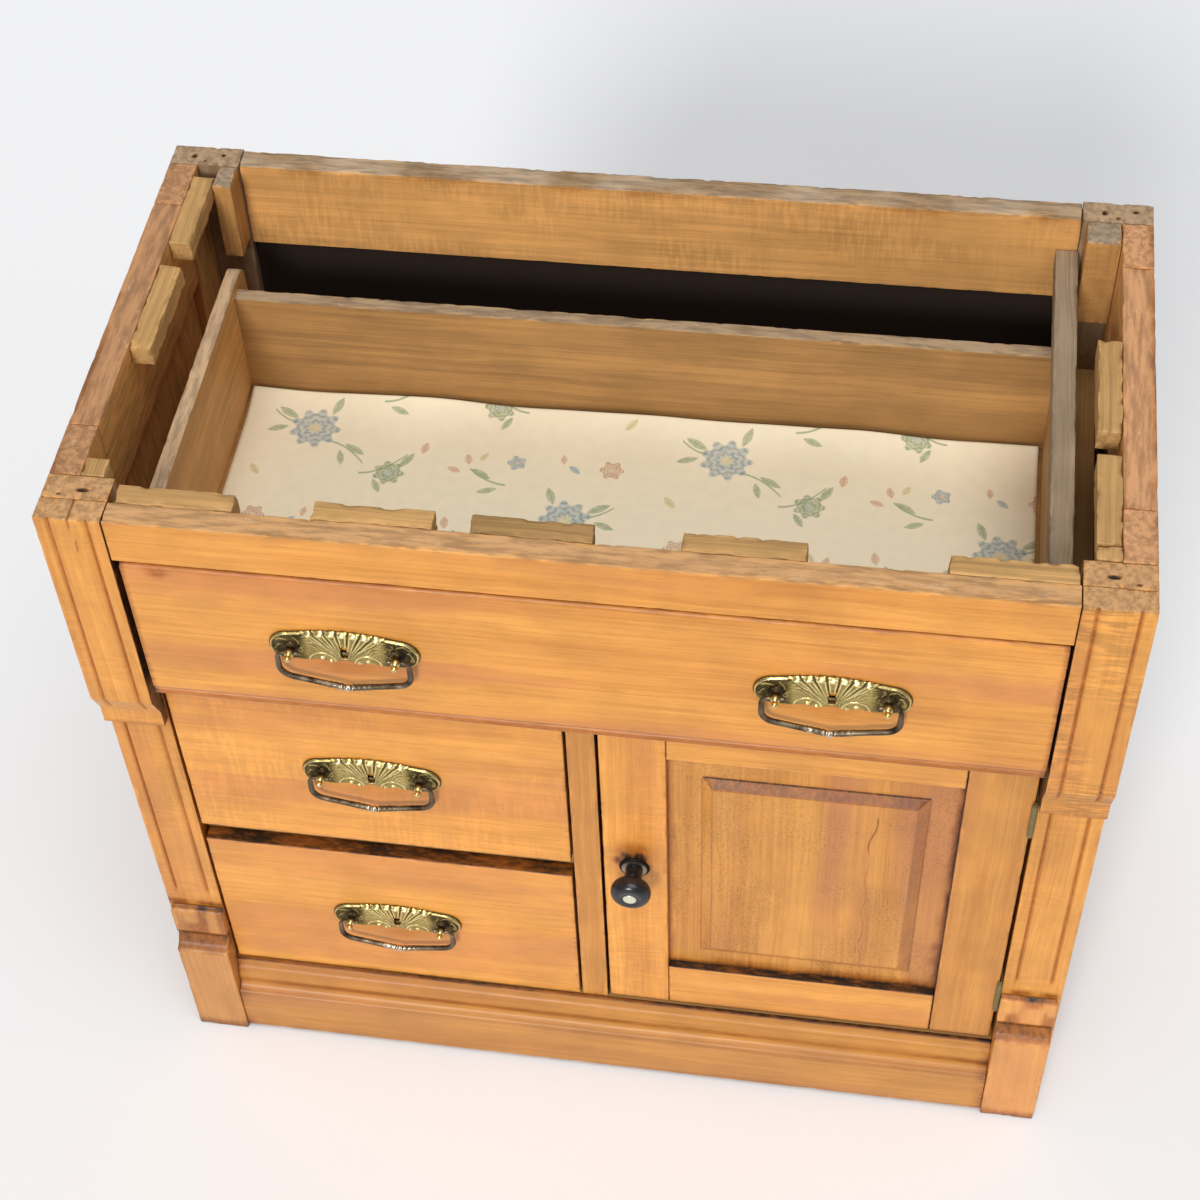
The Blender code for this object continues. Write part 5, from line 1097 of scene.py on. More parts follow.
class WASHSTAND_OT_top_drawer(bpy.types.Operator):
    """Top drawer: its moulded front, dovetailed sides and back"""

    bl_idname = "washstand.top_drawer"
    bl_label = "Top drawer"

    def execute(self, context):
        low, high = span("top_drawer_front")
        bottom, nose, crown = low[2], 0.0045, 0.004
        turn = np.linspace(-np.pi / 2, np.pi / 2.4, 8)
        profile = [(bottom + nose + nose * np.sin(a), nose - nose * np.cos(a)) for a in turn]
        profile += [(bottom + 2 * nose, 0.0018), (bottom + 2 * nose + 0.0018, 0.0),
                    (high[2] - crown, 0.0)]
        profile += quarter((high[2] - crown, 0.0), (high[2], crown))

        def darkening(x, z, points):
            """Dirt and painted shade above the half-round nose and on it, along the top, under the
            two pulls and at both ends, and a bruise near the left end."""
            seam = 0.80 * hump(z - (bottom + 2 * nose + 0.0005), 0.0016)
            mould = 0.38 * (1 - smooth(z, bottom + 0.006, bottom + 0.010))
            upper = 0.30 * smooth(z, high[2] - 0.006, high[2])
            bruise = 0.5 * hump(np.hypot(x + 0.300, (z - 0.655) * 1.6), 0.014)
            pulls = sum(0.22 * hump(np.hypot((x - middle) / 1.9, z - 0.568), 0.020)
                        for middle in (-0.172, 0.176))
            ends = 0.5 * (hump(x - low[0], 0.003) + hump(high[0] - x, 0.003))
            return seam + mould + upper + bruise + pulls + ends

        board("top_drawer_front", low, high, 0, "blushing_front", "top_drawer",
              ["top_drawer_front"], step=(0.005, 0.004, 0.004), rounding=0.0006,
              lines=((), (), [height for height, _ in profile]),
              shape=carved(low, high, profile, dirt_and_shade=darkening), bare="yz", wear=0.0002)
        # The left side is made lighter than the right: painted light for its inner face, which the
        # lamps leave dim
        for word, tone in (("left", 0.5), ("right", 0.05)):
            self.side(word, tone, high[1] + 0.0003)
        board("top_drawer_back", *span("top_drawer_back"), 0, "drawer_wood", "top_drawer",
              ["top_drawer_back"], slot="inner_wood", step=(0.004, 0.003, 0.005), wear=0.0007,
              bare="Z")
        return {"FINISHED"}

    def side(self, word, tone, shoulder):
        """A side from the shoulder back, and the dovetails that reach into the front."""
        node = "top_drawer_side_" + word
        low, high = span(node)
        tip, curve = low[1], 0.012

        def rounded(points, facing):
            """The upper edge drops at the rear by a quarter circle: r - sqrt(r² - past²)."""
            past = np.clip(points[:, 1] - (high[1] - curve), 0, curve)
            drop = curve - np.sqrt(np.maximum(0, curve ** 2 - past ** 2))
            shift, grime_and_shade = unmoved(points)
            shift[:, 2] = -drop * (points[:, 2] - low[2]) / (high[2] - low[2])
            return shift, grime_and_shade

        bends = high[1] - curve * np.array((0, 0.03, 0.1, 0.2, 0.35, 0.5, 0.75))
        board(node, (low[0], shoulder, low[2]), high, 1, "drawer_wood", "top_drawer", [node],
              slot="inner_wood", step=(0.003, 0.005, 0.005), shape=rounded, wear=0.0007,
              bare="Z", tone=tone, lines=((), bends, ()))
        count, half_share, neck = 5, 0.36, 0.70
        pitch = (high[2] - low[2]) / count
        first_x, last_x = (low[0] - SKIN, high[0]) if word == "left" else (low[0], high[0] + SKIN)
        for number in range(count):
            middle = low[2] + pitch * (number + 0.5)

            def flared(points, facing, middle=middle):
                """A tail is narrow at the shoulder and widens evenly to its tip."""
                share = (shoulder - points[:, 1]) / (shoulder - tip)
                grown = neck + 0.30 * np.clip(share, 0, 1)
                shift, grime_and_shade = unmoved(points)
                shift[:, 2] = (points[:, 2] - middle) * (grown - 1)
                return shift, grime_and_shade

            board(f"top_drawer_tail_{word}_{number}",
                  (first_x, tip, middle - half_share * pitch),
                  (last_x, shoulder + 0.0005, middle + half_share * pitch), 1, "drawer_wood",
                  "top_drawer", [node], slot="inner_wood", step=0.004, rounding=0.0003,
                  wear=0.0002, shape=flared, tone=-0.15)


class WASHSTAND_OT_liner(bpy.types.Operator):
    """Lining paper on the top drawer's bottom. Its last 40 mm rise with the square of how far
    along them a point lies, by a share of the room above that wavers along the drawer"""

    bl_idname = "washstand.liner"
    bl_label = "Lining paper"

    def execute(self, context):
        low, high = span("drawer_liner")
        thick, reach = 0.0005, 0.040
        across = np.linspace(low[0], high[0], 210)
        deep = np.concatenate((np.linspace(low[1], high[1] - reach, 50)[:-1],
                               np.linspace(high[1] - reach, high[1], 24)))
        x, y = np.meshgrid(across, deep, indexing="ij")
        flat = np.stack((x, y, np.zeros_like(x)), -1).reshape(-1, 3)
        past = np.clip((flat[:, 1] - (high[1] - reach)) / reach, 0, 1)
        wave = 0.5 + 0.5 * drift(flat, 0.085, 11)
        lift = (high[2] - low[2] - thick) * past ** 2 * (0.25 + 0.7 * wave)
        ripple = 0.0007 * hump(past - 1, 1) * (1 + np.sin(flat[:, 0] * 75))
        points = flat + np.stack((np.zeros(len(flat)), -0.0025 * past * wave,
                                  low[2] + thick + lift + 0.4 * ripple), -1)
        points[:, 2] = np.minimum(points[:, 2], high[2])
        sheet = np.stack((flat[:, 0] - low[0], flat[:, 1] - low[1], np.zeros(len(flat))), -1)
        piece = make("drawer_liner", (points, [grid_faces(len(across), len(deep))]),
                     "lining_paper", "top_drawer", ["drawer_liner"],
                     {"sheet": sheet})
        wall = piece.modifiers.new("paper", "SOLIDIFY")
        wall.thickness = thick * 0.8
        wall.offset = -1
        return {"FINISHED"}


class WASHSTAND_OT_small_drawers(bpy.types.Operator):
    """Fronts of the two small drawers"""

    bl_idname = "washstand.small_drawers"
    bl_label = "Small drawer fronts"

    def execute(self, context):
        for word, look, tone in (("upper", "curly_front", 0.05), ("lower", "honey_front", 0.0)):
            node = word + "_drawer_front"
            low, high = span(node)

            def darkening(x, z, points, low=low, high=high):
                """Patchy dirt and painted shade along all four edges, and painted shade in a trace
                under the pull.
                """
                around = np.minimum(np.minimum(x - low[0], high[0] - x),
                                    np.minimum(z - low[2], high[2] - z))
                patchy = smooth(drift(points, 0.02, 9), -0.3, 0.8)
                under = 0.20 * hump(np.hypot((x + 0.176) / 1.9, z - (high[2] - 0.115)), 0.02)
                return 0.32 * hump(around, 0.004) * patchy + under

            inset = np.array((SKIN, 0, 0))
            # The top face, in the gap above the drawer, is painted dark as shade
            board(node, low + inset, high - inset, 0, look, word + "_drawer", [node],
                  step=(0.005, 0.004, 0.005), rounding=0.0012, bare="y", tone=tone,
                  shape=carved(low, high, dirt_and_shade=darkening), shaded_faces="z", dust=0.74)
        return {"FINISHED"}


def plate_edges(x, half_width, lobe, boss):
    """Lower and upper edge of a pull's plate over x. Both stand one lobe's radius from the
    middle line, and past a lobe's centre they close in a circle. The upper edge is raised by a
    quarter cosine of 5 mm, with a scallop for each boss on it. The lower one is raised in the
    middle and half way out, by a squared cosine of 2.8 mm that fades towards the lobes."""
    lobe_x = half_width - lobe
    past = np.clip(np.abs(x) - lobe_x, 0, lobe)
    round_end = np.sqrt(np.maximum(lobe ** 2 - past ** 2, 0))
    reach = np.clip(np.abs(x) / lobe_x, 0, 1)
    scallop = 0.0008 * (np.abs(np.cos(np.pi * x / boss)) - 0.6) * (1 - smooth(np.abs(x), 0.024, 0.030))
    upper = round_end + 0.005 * np.cos(reach * np.pi / 2) + scallop
    lower = 0.0028 * np.cos(2 * np.pi * reach) ** 2 * (1 - reach) - round_end
    return lower, upper


def plate_relief(x, z, lower, upper, boss, height):
    """Height of a plate's face. A shell stands between the lobes, and cuts and troughs are
    taken off it. They follow lines that fan out from a foot below the keyhole, half way between
    the bosses, and each depends on a point's distance from the nearest line. On the shell comes
    the highest of these: lips beside the cuts, bosses and beads as half ellipsoids, scrolls,
    leaf strokes and the rim as humps over the distance from their lines, and small curls."""
    foot, lobe_middle = 0.0135, 0.0405
    rise, side = z + foot, np.abs(x)
    radius, turn = np.hypot(x, rise), np.arctan2(x, rise)
    crown = upper + foot - 0.0030
    fan = x / np.maximum(rise, 0.001) * crown / boss
    off = (fan - 0.5 - np.round(fan - 0.5)) * boss * np.clip(rise / crown, 0, 1) * np.cos(turn)
    grown = smooth(radius, 0.007, 0.028)
    lip = hump(np.abs(off) - 0.0004 - 0.0010 * grown, 0.0004 + 0.0006 * grown)
    scroll = np.hypot(side - 0.0168, z + 0.0134)
    central = ((1 - smooth(np.abs(fan), 3.4, 3.8)) * smooth(radius, 0.004, 0.008)
               * smooth(scroll, 0.0094, 0.0104))
    nearest = np.round(np.clip(fan, -3, 3)) * boss
    bosses = np.sqrt(np.maximum(0, 1 - ((x - nearest) / 0.0029) ** 2 - ((rise - crown) / 0.0024) ** 2))
    curl = hump(scroll - 0.0098, 0.0013)
    bead = np.sqrt(np.maximum(0, 1 - (np.hypot(side - 0.0168, z + 0.0092) / 0.0019) ** 2))
    bead = bead + np.sqrt(np.maximum(0, 1 - (np.hypot(side - 0.0105, z + 0.0116) / 0.0015) ** 2))
    leafy = (1 - central) * smooth(scroll, 0.0106, 0.0118) * (1 - smooth(side, 0.029, 0.034))
    strokes = np.abs(turn) * 9.5 + radius * 160 - smooth(side, 0.018, 0.032) * 3 * (z + 0.004) / 0.01
    leaf = hump(strokes - np.round(strokes), 0.32) * leafy
    inside = np.minimum(z - lower, upper - z)
    ends = np.hypot(side - lobe_middle, z)
    lobe = smooth(side, 0.026, 0.031)
    rim = hump(np.where(side > lobe_middle, 0.015 - ends, inside) - 0.0014, 0.0013) * lobe
    place = np.stack((x, z, side * 0), -1)
    spiral = np.arctan2(z, side - 0.039) * 2.5 + ends * 420
    curls = hump(np.sin(spiral + 1.5 * drift(place, 0.004, 5)), 0.6)
    texture = lobe * curls * smooth(0.0128 - ends, 0, 0.002) * smooth(ends, 0.0058, 0.0072)
    texture = texture + curls * (1 - smooth(scroll, 0.0076, 0.0088))
    low_edge = hump(z - lower - 0.0008, 0.0010) * (1 - lobe) * smooth(side, 0.014, 0.017)
    cut = hump(off, 0.0003 + 0.0006 * grown) * (1 - bosses)
    trough = smooth(np.abs(off), 0.0012 + 0.0014 * grown, 0.0016 + 0.0022 * grown) * (1 - bosses)
    shell = 0.34 * (1 - lobe) - (0.50 * cut + 0.14 * trough) * central
    high = shell + np.max(np.stack((0.80 * lip * central, 1.05 * bosses, 0.75 * curl, bead,
                                    0.50 * leaf, 0.95 * rim, 0.55 * texture, 0.4 * low_edge)), axis=0)
    return np.minimum(high, 1.3) * height


class WASHSTAND_OT_pulls(bpy.types.Operator):
    """Four pulls: stamped plates, turned posts with their nuts, and hanging bails"""

    bl_idname = "washstand.pulls"
    bl_label = "Pulls"

    def execute(self, context):
        looks = settings("pulls")
        half, lobe, standoff, spacing = 0.0555, 0.015, 0.0034, 0.039
        columns, rows = 231, 56
        for node, bail, body, face in (
                ("top_pull_left", "top_bail_left", "top_drawer", FRONT),
                ("top_pull_right", "top_bail_right", "top_drawer", FRONT),
                ("upper_pull", "upper_bail", "upper_drawer", CASE_FACE),
                ("lower_pull", "lower_bail", "lower_drawer", CASE_FACE)):
            low, high = span(node)
            middle_x = (low[0] + high[0]) / 2
            bail_low, bail_high = span(bail)
            middle_z = low[2] + lobe
            # The columns stand closer together towards the plate's ends.
            share = np.sin(np.linspace(-1, 1, columns) * np.pi / 2 * 0.985)
            x = half * (0.65 * np.linspace(-0.9997, 0.9997, columns) + 0.35 * share)
            lower, upper = plate_edges(x, half, lobe, looks.boss)
            part = np.linspace(0, 1, rows)[None, :]
            z = lower[:, None] + (upper - lower)[:, None] * part
            x = np.broadcast_to(x[:, None], z.shape)
            inside = np.minimum(np.minimum(z - lower[:, None], upper[:, None] - z), half - np.abs(x))
            edge = smooth(inside, 0, 0.0028)
            flat_seat = smooth(np.hypot(np.abs(x) - spacing, z), 0.0056, 0.0064)
            fine = plate_relief(x, z, lower[:, None], upper[:, None], looks.boss, looks.relief)
            out = 0.0011 + (standoff - 0.0021) * edge + fine * edge * flat_seat
            y = face - 0.0003 - np.minimum(out, standoff + 0.0012)
            points = np.stack((middle_x + x, y, middle_z + z), -1).reshape(-1, 3)
            faces = grid_faces(*z.shape)
            centre = points[faces].mean(axis=1)
            keyhole = ((np.abs(centre[:, 0] - middle_x) < 0.0029)
                       & (centre[:, 2] > middle_z - 0.008) & (centre[:, 2] < middle_z + 0.005))
            cavity = (fine / looks.relief * 0.85 + 0.12 * edge).reshape(-1)
            plate = make(node + "_plate", (points, [faces[~keyhole]]), "plate_brass",
                         body, [node], cavity_mark(cavity))
            wall = plate.modifiers.new("sheet", "SOLIDIFY")
            wall.thickness = 0.0007
            wall.offset = -1
            cover_low = np.array((middle_x - 0.0028, face - 0.0014, middle_z - 0.0079))
            cover = box_shell([spaced(*row, 0.0005, 0.0001) for row in
                               zip(cover_low, cover_low + (0.0056, 0.0018, 0.0058))])
            # The cover's upper band is painted dark, as the shade at the foot of the keyhole
            level = 0.62 - 1.2 * smooth(cover[0][:, 2], middle_z - 0.0034, middle_z - 0.0028)
            make(node + "_cover", cover, "post_metal", body, [node],
                 cavity_mark(level))
            self.posts(node, body, face, middle_x, middle_z, spacing)
            self.bail(bail, middle_x, middle_z, (bail_low[1] + bail_high[1]) / 2, spacing)
        return {"FINISHED"}

    def posts(self, node, body, face, middle_x, middle_z, spacing):
        """A post is a flange with petals, a neck, a ball and a small ball, and it goes
        through the front to a six-sided nut."""
        seat = face - 0.0026
        up = np.radians(np.linspace(75, -38, 9))
        small = [(0.0026 * np.cos(a), 0.0122 + 0.0026 * np.sin(a)) for a in up]
        down = np.radians(np.linspace(52, -48, 10))
        ball = [(0.0040 * np.cos(a), 0.0066 + 0.0040 * np.sin(a)) for a in down]
        profile = [(0, 0.0149)] + small + [(0.0019, 0.0102)] + ball
        profile += [(0.0032, 0.0024), (0.0033, 0.0018), (0.0046, 0.0016), (0.0056, 0.0010),
                    (0.0057, 0.0004), (0.0056, -0.0005), (0.0016, -0.0005), (0.0016, -0.0255),
                    (0, -0.0255)]
        shells, levels = [], []
        nut = [(0, 0.0), (0.0040, 0.0), (0.0045, -0.0004), (0.0045, -0.0026), (0.0040, -0.0030),
               (0, -0.0030)]

        def petals(turn, height):
            """Share of the radius: eight waves of a twentieth, on the flange only."""
            flange = smooth(0.0020 - height, 0, 0.0006) * smooth(height + 0.0004, 0, 0.0002)
            return 1 + 0.05 * np.cos(turn * 8) * flange

        for side in (-1, 1):
            centre = np.array((middle_x + side * spacing, seat, middle_z))
            post = turned(profile, 32, centre, petals)
            behind = np.array((centre[0], face + 0.0203, middle_z))
            shells += [post, turned(nut, 6, behind)]
            for points, _ in shells[-2:]:
                out = centre[1] - points[:, 1]
                levels.append(0.2 + 0.75 * smooth(out, 0.004, 0.011))
        make(node + "_posts", gather(shells), "post_metal", body, [node],
             cavity_mark(np.concatenate(levels)))

    def bail(self, name, middle_x, middle_z, y, spacing):
        """A wire through the posts, down round square shoulders to a shallow V. Its radius
        swells along the lower bar to a leaf, and again to a bead in the middle."""
        half, corner_drop, drop = 0.0485, 0.025, 0.035
        shoulder, corner = 0.0055, 0.0115
        turn = np.linspace(0, 1, 9)
        start = [(spacing - 0.0065 + 0.0065 * t, 0) for t in (0, 0.15, 0.5, 1)]
        bend = [(half - shoulder + shoulder * np.sin(t * np.pi / 2),
                 -shoulder + shoulder * np.cos(t * np.pi / 2)) for t in turn]
        slope = np.arctan2(drop - corner_drop, half)
        sweep = np.pi / 2 - slope
        inset = corner * np.tan(sweep / 2)
        centre = (half - corner, -corner_drop + inset)
        lower = [(centre[0] + corner * np.cos(t * sweep), centre[1] - corner * np.sin(t * sweep))
                 for t in turn]
        first = np.array(lower[-1])
        last = np.array((0.0, -drop))
        bar = [tuple(first + (last - first) * t) for t in np.linspace(0, 1, 46)[1:]]
        right = np.array(start + bend + lower + bar)
        left = right[:-1][::-1] * (-1, 1)
        flat = np.concatenate((right, left))[::-1]
        path = np.stack((middle_x + flat[:, 0], np.full(len(flat), y), middle_z + flat[:, 1]), -1)
        along = np.abs(flat[:, 0])
        hang = smooth(-flat[:, 1], 0.001, 0.008)
        low_bar = smooth(-flat[:, 1], 0.026, 0.029)
        radius = 0.0014 + 0.00085 * hang
        leaf = smooth(0.019 - along, 0, 0.004) * low_bar
        radius += 0.00028 * leaf * (0.7 + 0.5 * np.cos(along * 1500))
        bead = np.sqrt(np.maximum(0, 1 - (along / 0.0026) ** 2)) * low_bar
        collar = hump(along - 0.0042, 0.0011) * low_bar
        radius = radius * (1 - 0.25 * hump(along - 0.0030, 0.0008) * low_bar)
        radius = np.maximum(radius, 0.0031 * bead) + 0.00035 * collar
        shell = swept(path, radius, 16)
        ring = np.repeat(0.42 + 0.5 * bead + 0.35 * collar + 0.15 * leaf, 16)
        ring = np.concatenate((ring, (0.3, 0.3)))
        ring = ring + 0.30 * drift(shell[0], 0.006, 21)
        make(name, shell, "bail_bronze", name, [name], cavity_mark(ring))


class WASHSTAND_OT_door(bpy.types.Operator):
    """Door: stiles, rails and the raised panel, with the dark stain above the knob"""

    bl_idname = "washstand.door"
    bl_label = "Door"

    def execute(self, context):
        low, high = span("door_panel")
        outer = (0.0825, 0.2550, 0.186, 0.435)
        inner = (0.0910, 0.2455, 0.198, 0.427)
        foot, sight_left, sight_right = 0.106, 0.0555, 0.2785

        def raised(points, facing):
            """The field stands 6 mm proud of the margins, and a flat bevel leads up to it.
            Dirt and painted shade lie along the bevel's edges, on the top bevel and at the seams round
            the panel, and grime in the crack."""
            x, y, z = points.T
            shares = np.stack(((x - outer[0]) / (inner[0] - outer[0]),
                               (outer[1] - x) / (outer[1] - inner[1]),
                               (z - outer[2]) / (inner[2] - outer[2]),
                               (outer[3] - z) / (outer[3] - inner[3])))
            level = np.clip(shares.min(axis=0), 0, 1)
            front = turned_to(facing, "f")
            shift = np.zeros_like(points)
            shift[:, 1] = 0.006 * (1 - level) * (high[1] - y) / (high[1] - low[1])
            patchy = smooth(drift(points, 0.02, 6), -0.9, 0.5)
            within = (x > outer[0]) & (x < outer[1])
            level_x = (z > outer[2]) & (z < outer[3])
            marks = [
                0.95 * hump(z - outer[3] - 0.0004, 0.0017) * within,
                (0.48 + 0.06 * patchy) * smooth(z, inner[3] - 0.001, inner[3] + 0.001)
                * (z < outer[3]) * (shares[3] < np.minimum(shares[0], shares[1])),
                0.34 * hump(x - outer[0], 0.0016) * level_x,
                0.30 * hump(x - inner[0], 0.0016) * level_x,
                0.20 * (x > inner[1]) * (x < outer[1])
                * (shares[1] < np.minimum(shares[2], shares[3])),
                0.40 * hump(x - outer[1], 0.0016) * level_x,
                0.26 * hump(z - inner[2], 0.0016) * within,
                0.34 * hump(z - outer[2], 0.0018) * within,
                0.95 * hump(z - 0.163, 0.006) * (0.55 + 0.45 * patchy),
                0.45 * hump(z - 0.166, 0.016) * patchy,
                0.95 * hump(x - sight_right, 0.0045) * (0.55 + 0.45 * patchy),
                0.50 * hump(x - sight_right, 0.014) * smooth(drift(points, 0.012, 4), -0.2, 0.8),
                0.75 * hump(x - sight_left, 0.004),
                0.35 * hump(x - sight_left, 0.012) * patchy,
                0.6 * hump(z - 0.463, 0.003),
                0.62 * hump(x - split_line(z), 0.0012) * smooth(z, 0.352, 0.372)
                * smooth(0.418 - z, 0, 0.01),
                0.28 * hump(x - split_line(z), 0.0012) * (z > inner[2]) * (z < 0.352)]
            return shift, np.max(np.stack(marks), axis=0) * front

        def split_line(z):
            """A crack down the panel: it wavers with the height."""
            return 0.2130 + 0.0045 * smooth(z, 0.37, 0.42) + 0.0012 * np.sin(z * 130)

        lines = (near((*outer[:2], *inner[:2]), 0.0016) + list(np.arange(0.2105, 0.2195, 0.0007)),
                 (), near((*outer[2:], *inner[2:]), 0.0016))
        board("door_panel", low, high, 2, "panel_front", "door", ["door_panel"],
              slot="figured_wood", step=(0.003, 0.004, 0.003), shape=raised, lines=lines,
              bare="y", tone=-0.20)

        knob_low, knob_high = span("knob_rose")
        knob = (knob_low + knob_high) / 2

        def stained(x, z, points):
            """A burnt, ragged patch just above the knob, and an amber halo that is a little
            wider than high. Both fall with the distance from their middles. Dirt and painted shade
            lie along the stile's left edge and its foot."""
            above = z - knob[2]
            amber = 0.50 * hump(np.hypot((x - knob[0]) / 1.1, above - 0.020), 0.025)
            ragged = 0.004 * drift(points * (1, 1, 0.4), 0.0040, 3)
            away = np.hypot(x - knob[0], above - 0.007) + ragged
            burnt = 0.95 * (1 - smooth(away, 0.006, 0.0205)) * smooth(above, -0.010, 0.004)
            edge = 0.40 * hump(x - 0.0045, 0.0014) + 0.35 * hump(z - foot, 0.006)
            return np.max(np.stack((amber, burnt, edge)), axis=0)

        def edged(x, z, points):
            """Dirt and painted shade at the foot of the right stile and along both of its edges."""
            return (0.3 * hump(z - foot, 0.006) + 0.9 * hump(x - sight_right, 0.0012)
                    + 0.5 * hump(x - 0.3295, 0.0015))

        def joined(x, z, points):
            """Dirt and painted shade along the door's foot, and grime at a rail's two joints."""
            return (0.35 * hump(z - foot, 0.006) + 0.55 * hump(x - left, 0.0018)
                    + 0.75 * hump(right - x, 0.0018))

        fine = np.arange(knob[2] - 0.025, knob[2] + 0.04, 0.0016)
        for node, look, tone, dirt_and_shade, upright in (
                ("door_stile_left", "curly_front", 0.05, stained, fine),
                ("door_stile_right", "honey_front", -0.18, edged, ())):
            low, high = span(node)
            board(node, low, high, 2, look, "door", [node], step=(0.0022, 0.005, 0.004),
                  bare="y", tone=tone, shape=carved(low, high, dirt_and_shade=dirt_and_shade),
                  lines=((), (), upright))
        left = span("door_stile_left")[1][0] + 0.0002
        right = span("door_stile_right")[0][0] - 0.0002
        # The rails' top faces are painted dark as shade, the bottom rail's ledge under the panel
        # darkest
        for node, dust in (("door_rail_top", 0.3), ("door_rail_bottom", 0.9)):
            low, high = span(node)
            board(node, (left, low[1], low[2]), (right, high[1], high[2]), 0, "honey_front",
                  "door", [node], step=(0.004, 0.005, 0.004), bare="y", tone=-0.03, shaded_faces="z",
                  dust=dust, shape=carved(low, high, dirt_and_shade=joined))
        return {"FINISHED"}


class WASHSTAND_OT_hardware(bpy.types.Operator):
    """The knob with its rose and pale centre, the hinges and the catch"""

    bl_idname = "washstand.hardware"
    bl_label = "Knob and hinges"

    def execute(self, context):
        low, high = span("knob_rose")
        centre = np.array(((low[0] + high[0]) / 2, CASE_FACE, (low[2] + high[2]) / 2))
        radius, reach = 0.0162, 0.0320
        base = reach * 0.965
        shares = ((0.30, 0.962), (0.40, 0.966), (0.52, 0.978), (0.64, 0.985), (0.74, 0.977),
                  (0.83, 0.950), (0.91, 0.905), (0.965, 0.850), (0.993, 0.790), (1.0, 0.730),
                  (0.985, 0.675), (0.945, 0.615), (0.87, 0.560), (0.77, 0.520), (0.66, 0.485),
                  (0.56, 0.445), (0.49, 0.400), (0.45, 0.340), (0.435, 0.260), (0.44, 0.180))
        profile = [(0, base)] + [(radius * across, reach * up) for across, up in shares]
        profile += [(0.0072, 0.0040), (0.0070, 0.0032), (0.0040, 0.0032), (0.0040, -0.0450),
                    (0, -0.0450)]
        make("door_knob", turned(profile, 56, centre), "black_glaze", "knob", ["door_knob"])
        button = [(0, base + 0.0016), (0.0016, base + 0.00155), (0.0030, base + 0.0013),
                  (0.0044, base + 0.0010), (0.0054, base + 0.0005), (0.0056, base - 0.0002),
                  (0, base - 0.0002)]
        shell = turned(button, 40, centre)
        level = 0.9 - 0.5 * hump(np.hypot(*(shell[0] - centre).T[[0, 2]]) - 0.0050, 0.0006)
        make("knob_button", shell, "pale_metal", "knob", ["knob_button"],
             cavity_mark(level))
        rose = [(0, 0.0031), (0.0060, 0.0031), (0.0080, 0.0029), (0.0098, 0.0025),
                (0.0113, 0.0019), (0.0122, 0.0012), (0.0125, 0.0006), (0.0125, 0.0003),
                (0, 0.0003)]
        rose = turned(rose, 48, centre)
        level = 0.75 - 1.1 * smooth(np.hypot(*(rose[0] - centre).T[[0, 2]]), 0.0098, 0.0112)
        make("knob_rose", rose, "rose_metal", "door", ["knob_rose"],
             cavity_mark(level))
        dress("hinge_brass", "hinge_post_leaf_lower", "hinge_post_leaf_upper",
              "hinge_door_leaf_lower", "hinge_door_leaf_upper", "catch_tongue")
        return {"FINISHED"}


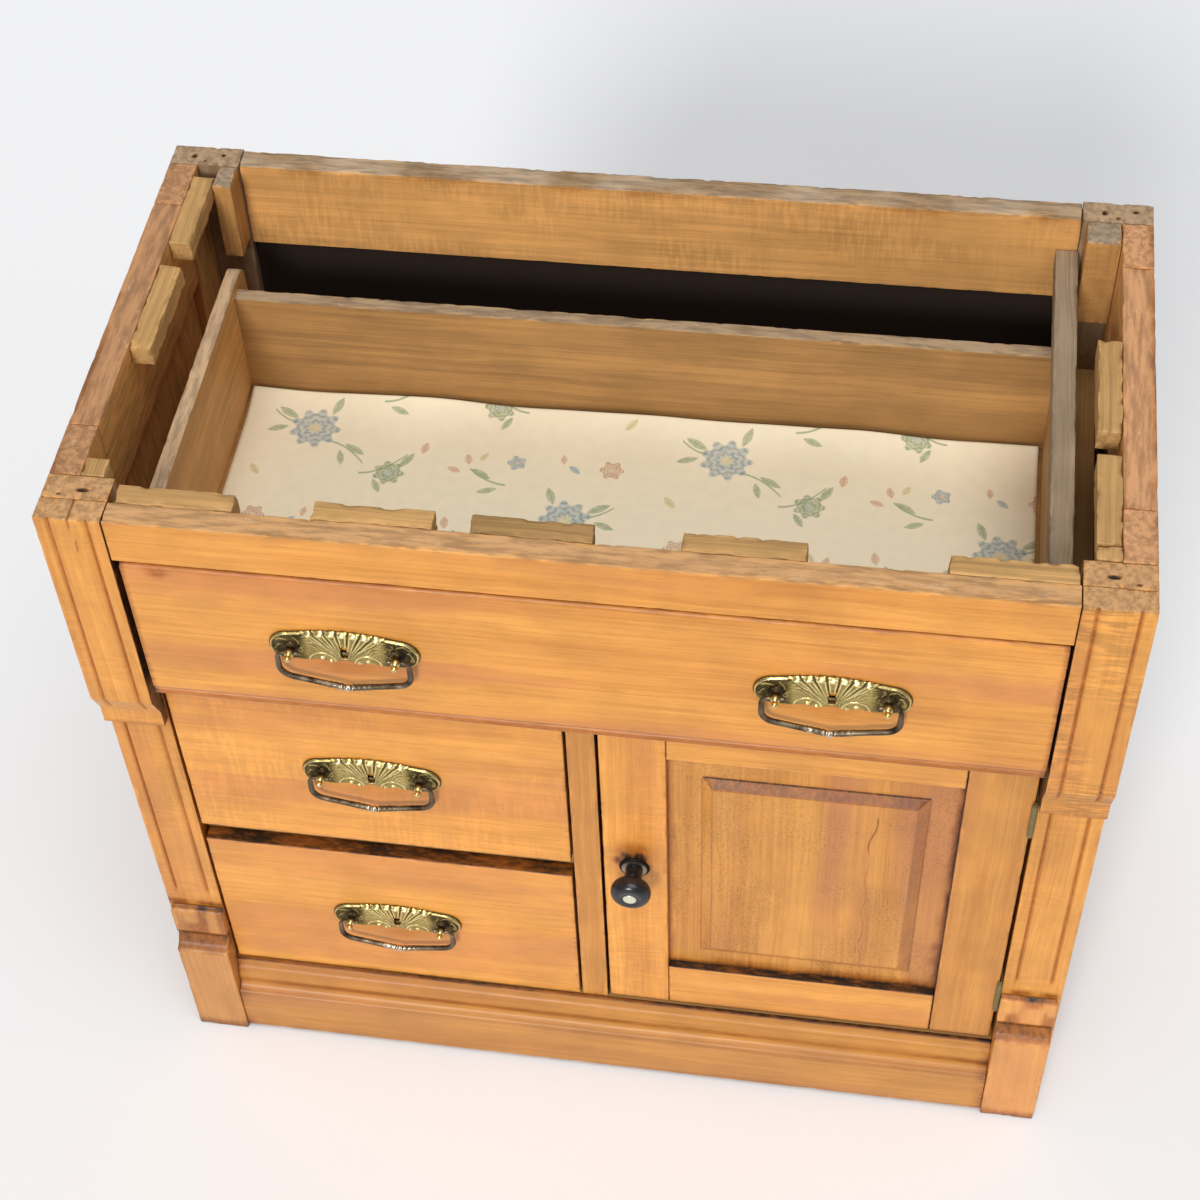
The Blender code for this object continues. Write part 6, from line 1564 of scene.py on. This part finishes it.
class WASHSTAND_OT_stage(bpy.types.Operator):
    """Pale floor, soft light, and a camera at the photograph's viewing angle"""

    bl_idname = "washstand.stage"
    bl_label = "Stage"

    def execute(self, context):
        looks = settings("stage")
        scene = context.scene
        graph = Graph("pale_floor")
        cloud = graph.noise(graph.node("ShaderNodeTexCoord", output="Object") * 1.3, 2.0)
        colour = graph.mix(graph.rise(cloud, 0.3, 0.7), tuple(looks.floor),
                           tinted(looks.floor, 0.98))
        graph.finish(base_color=colour, roughness=0.9)
        reach = np.linspace(-6, 6, 13)
        x, y = np.meshgrid(reach, reach, indexing="ij")
        points = np.stack((x, y, np.zeros_like(x) - 0.0005), -1).reshape(-1, 3)
        squares = grid_faces(13, 13)
        mesh = bpy.data.meshes.new("floor")
        mesh.from_pydata(points.tolist(), [], squares.tolist())
        mesh.materials.append(graph.material)
        floor = bpy.data.objects.new("floor", mesh)
        scene.collection.objects.link(floor)

        scene.world = bpy.data.worlds.new("soft_room")
        room = Graph("soft_room", scene.world)
        seen = room.node("ShaderNodeLightPath", output="Is Camera Ray")
        room.finish(color=(0.985, 0.985, 1.0), strength=seen * (0.92 - looks.sky) + looks.sky)
        for name, strength, width, tilt in (("ceiling_lamp", looks.ceiling, 44, (16, 6, 0)),
                                            ("low_lamp", looks.lamp, 16, (61, 0, -10))):
            lamp = bpy.data.lights.new(name, "SUN")
            lamp.energy = strength
            lamp.angle = np.radians(width)
            lamp.color = (1.0, 0.985, 0.96)
            hung = bpy.data.objects.new(name, lamp)
            hung.rotation_euler = np.radians(tilt)
            scene.collection.objects.link(hung)

        view = bpy.data.cameras.new("camera")
        view.sensor_width = 36
        view.lens = looks.lens
        view.shift_x, view.shift_y = 0.06, -0.0033
        camera = bpy.data.objects.new("camera", view)
        camera.location = (0.191, -1.188, 1.892)
        camera.rotation_euler = np.radians((39.74, 3.07, 9.07))
        scene.collection.objects.link(camera)
        scene.camera = camera
        scene.view_settings.view_transform = "Standard"
        return {"FINISHED"}


OPERATORS = (
    WASHSTAND_OT_posts, WASHSTAND_OT_back, WASHSTAND_OT_sides, WASHSTAND_OT_front_frame,
    WASHSTAND_OT_insides, WASHSTAND_OT_top_drawer, WASHSTAND_OT_liner,
    WASHSTAND_OT_small_drawers, WASHSTAND_OT_pulls, WASHSTAND_OT_door, WASHSTAND_OT_hardware,
    WASHSTAND_OT_stage,
)
GROUPS = {"wood": WashstandWood, "pulls": WashstandPulls, "liner": WashstandLiner,
          "stage": WashstandStage}


class WASHSTAND_PT_looks(bpy.types.Panel):
    """Lists the pieces and their settings"""

    bl_idname = "WASHSTAND_PT_looks"
    bl_label = "Washstand"
    bl_space_type = "VIEW_3D"
    bl_region_type = "UI"
    bl_category = "Washstand"

    def draw(self, context):
        """One box of settings for each group, and a button for each operator."""
        for name, group in GROUPS.items():
            box = self.layout.box()
            box.label(text=name.capitalize())
            for key in group.__annotations__:
                box.prop(settings(name), key)
        for operator in OPERATORS:
            self.layout.operator(operator.bl_idname)


def register():
    """Registers every class and hangs the groups of settings on the scene."""
    for made in (*GROUPS.values(), *OPERATORS, WASHSTAND_PT_looks):
        bpy.utils.register_class(made)
    for name, group in GROUPS.items():
        setattr(bpy.types.Scene, "washstand_" + name, bpy.props.PointerProperty(type=group))


def unregister():
    """Takes the settings off the scene and removes the classes, last one first."""
    for name in GROUPS:
        delattr(bpy.types.Scene, "washstand_" + name)
    for made in (WASHSTAND_PT_looks, *reversed(OPERATORS), *reversed(GROUPS.values())):
        bpy.utils.unregister_class(made)


def main():
    """Makes every piece in its order."""
    register()
    for operator in OPERATORS:
        group, name = operator.bl_idname.split(".")
        getattr(getattr(bpy.ops, group), name)()


if __name__ == "__main__":
    main()
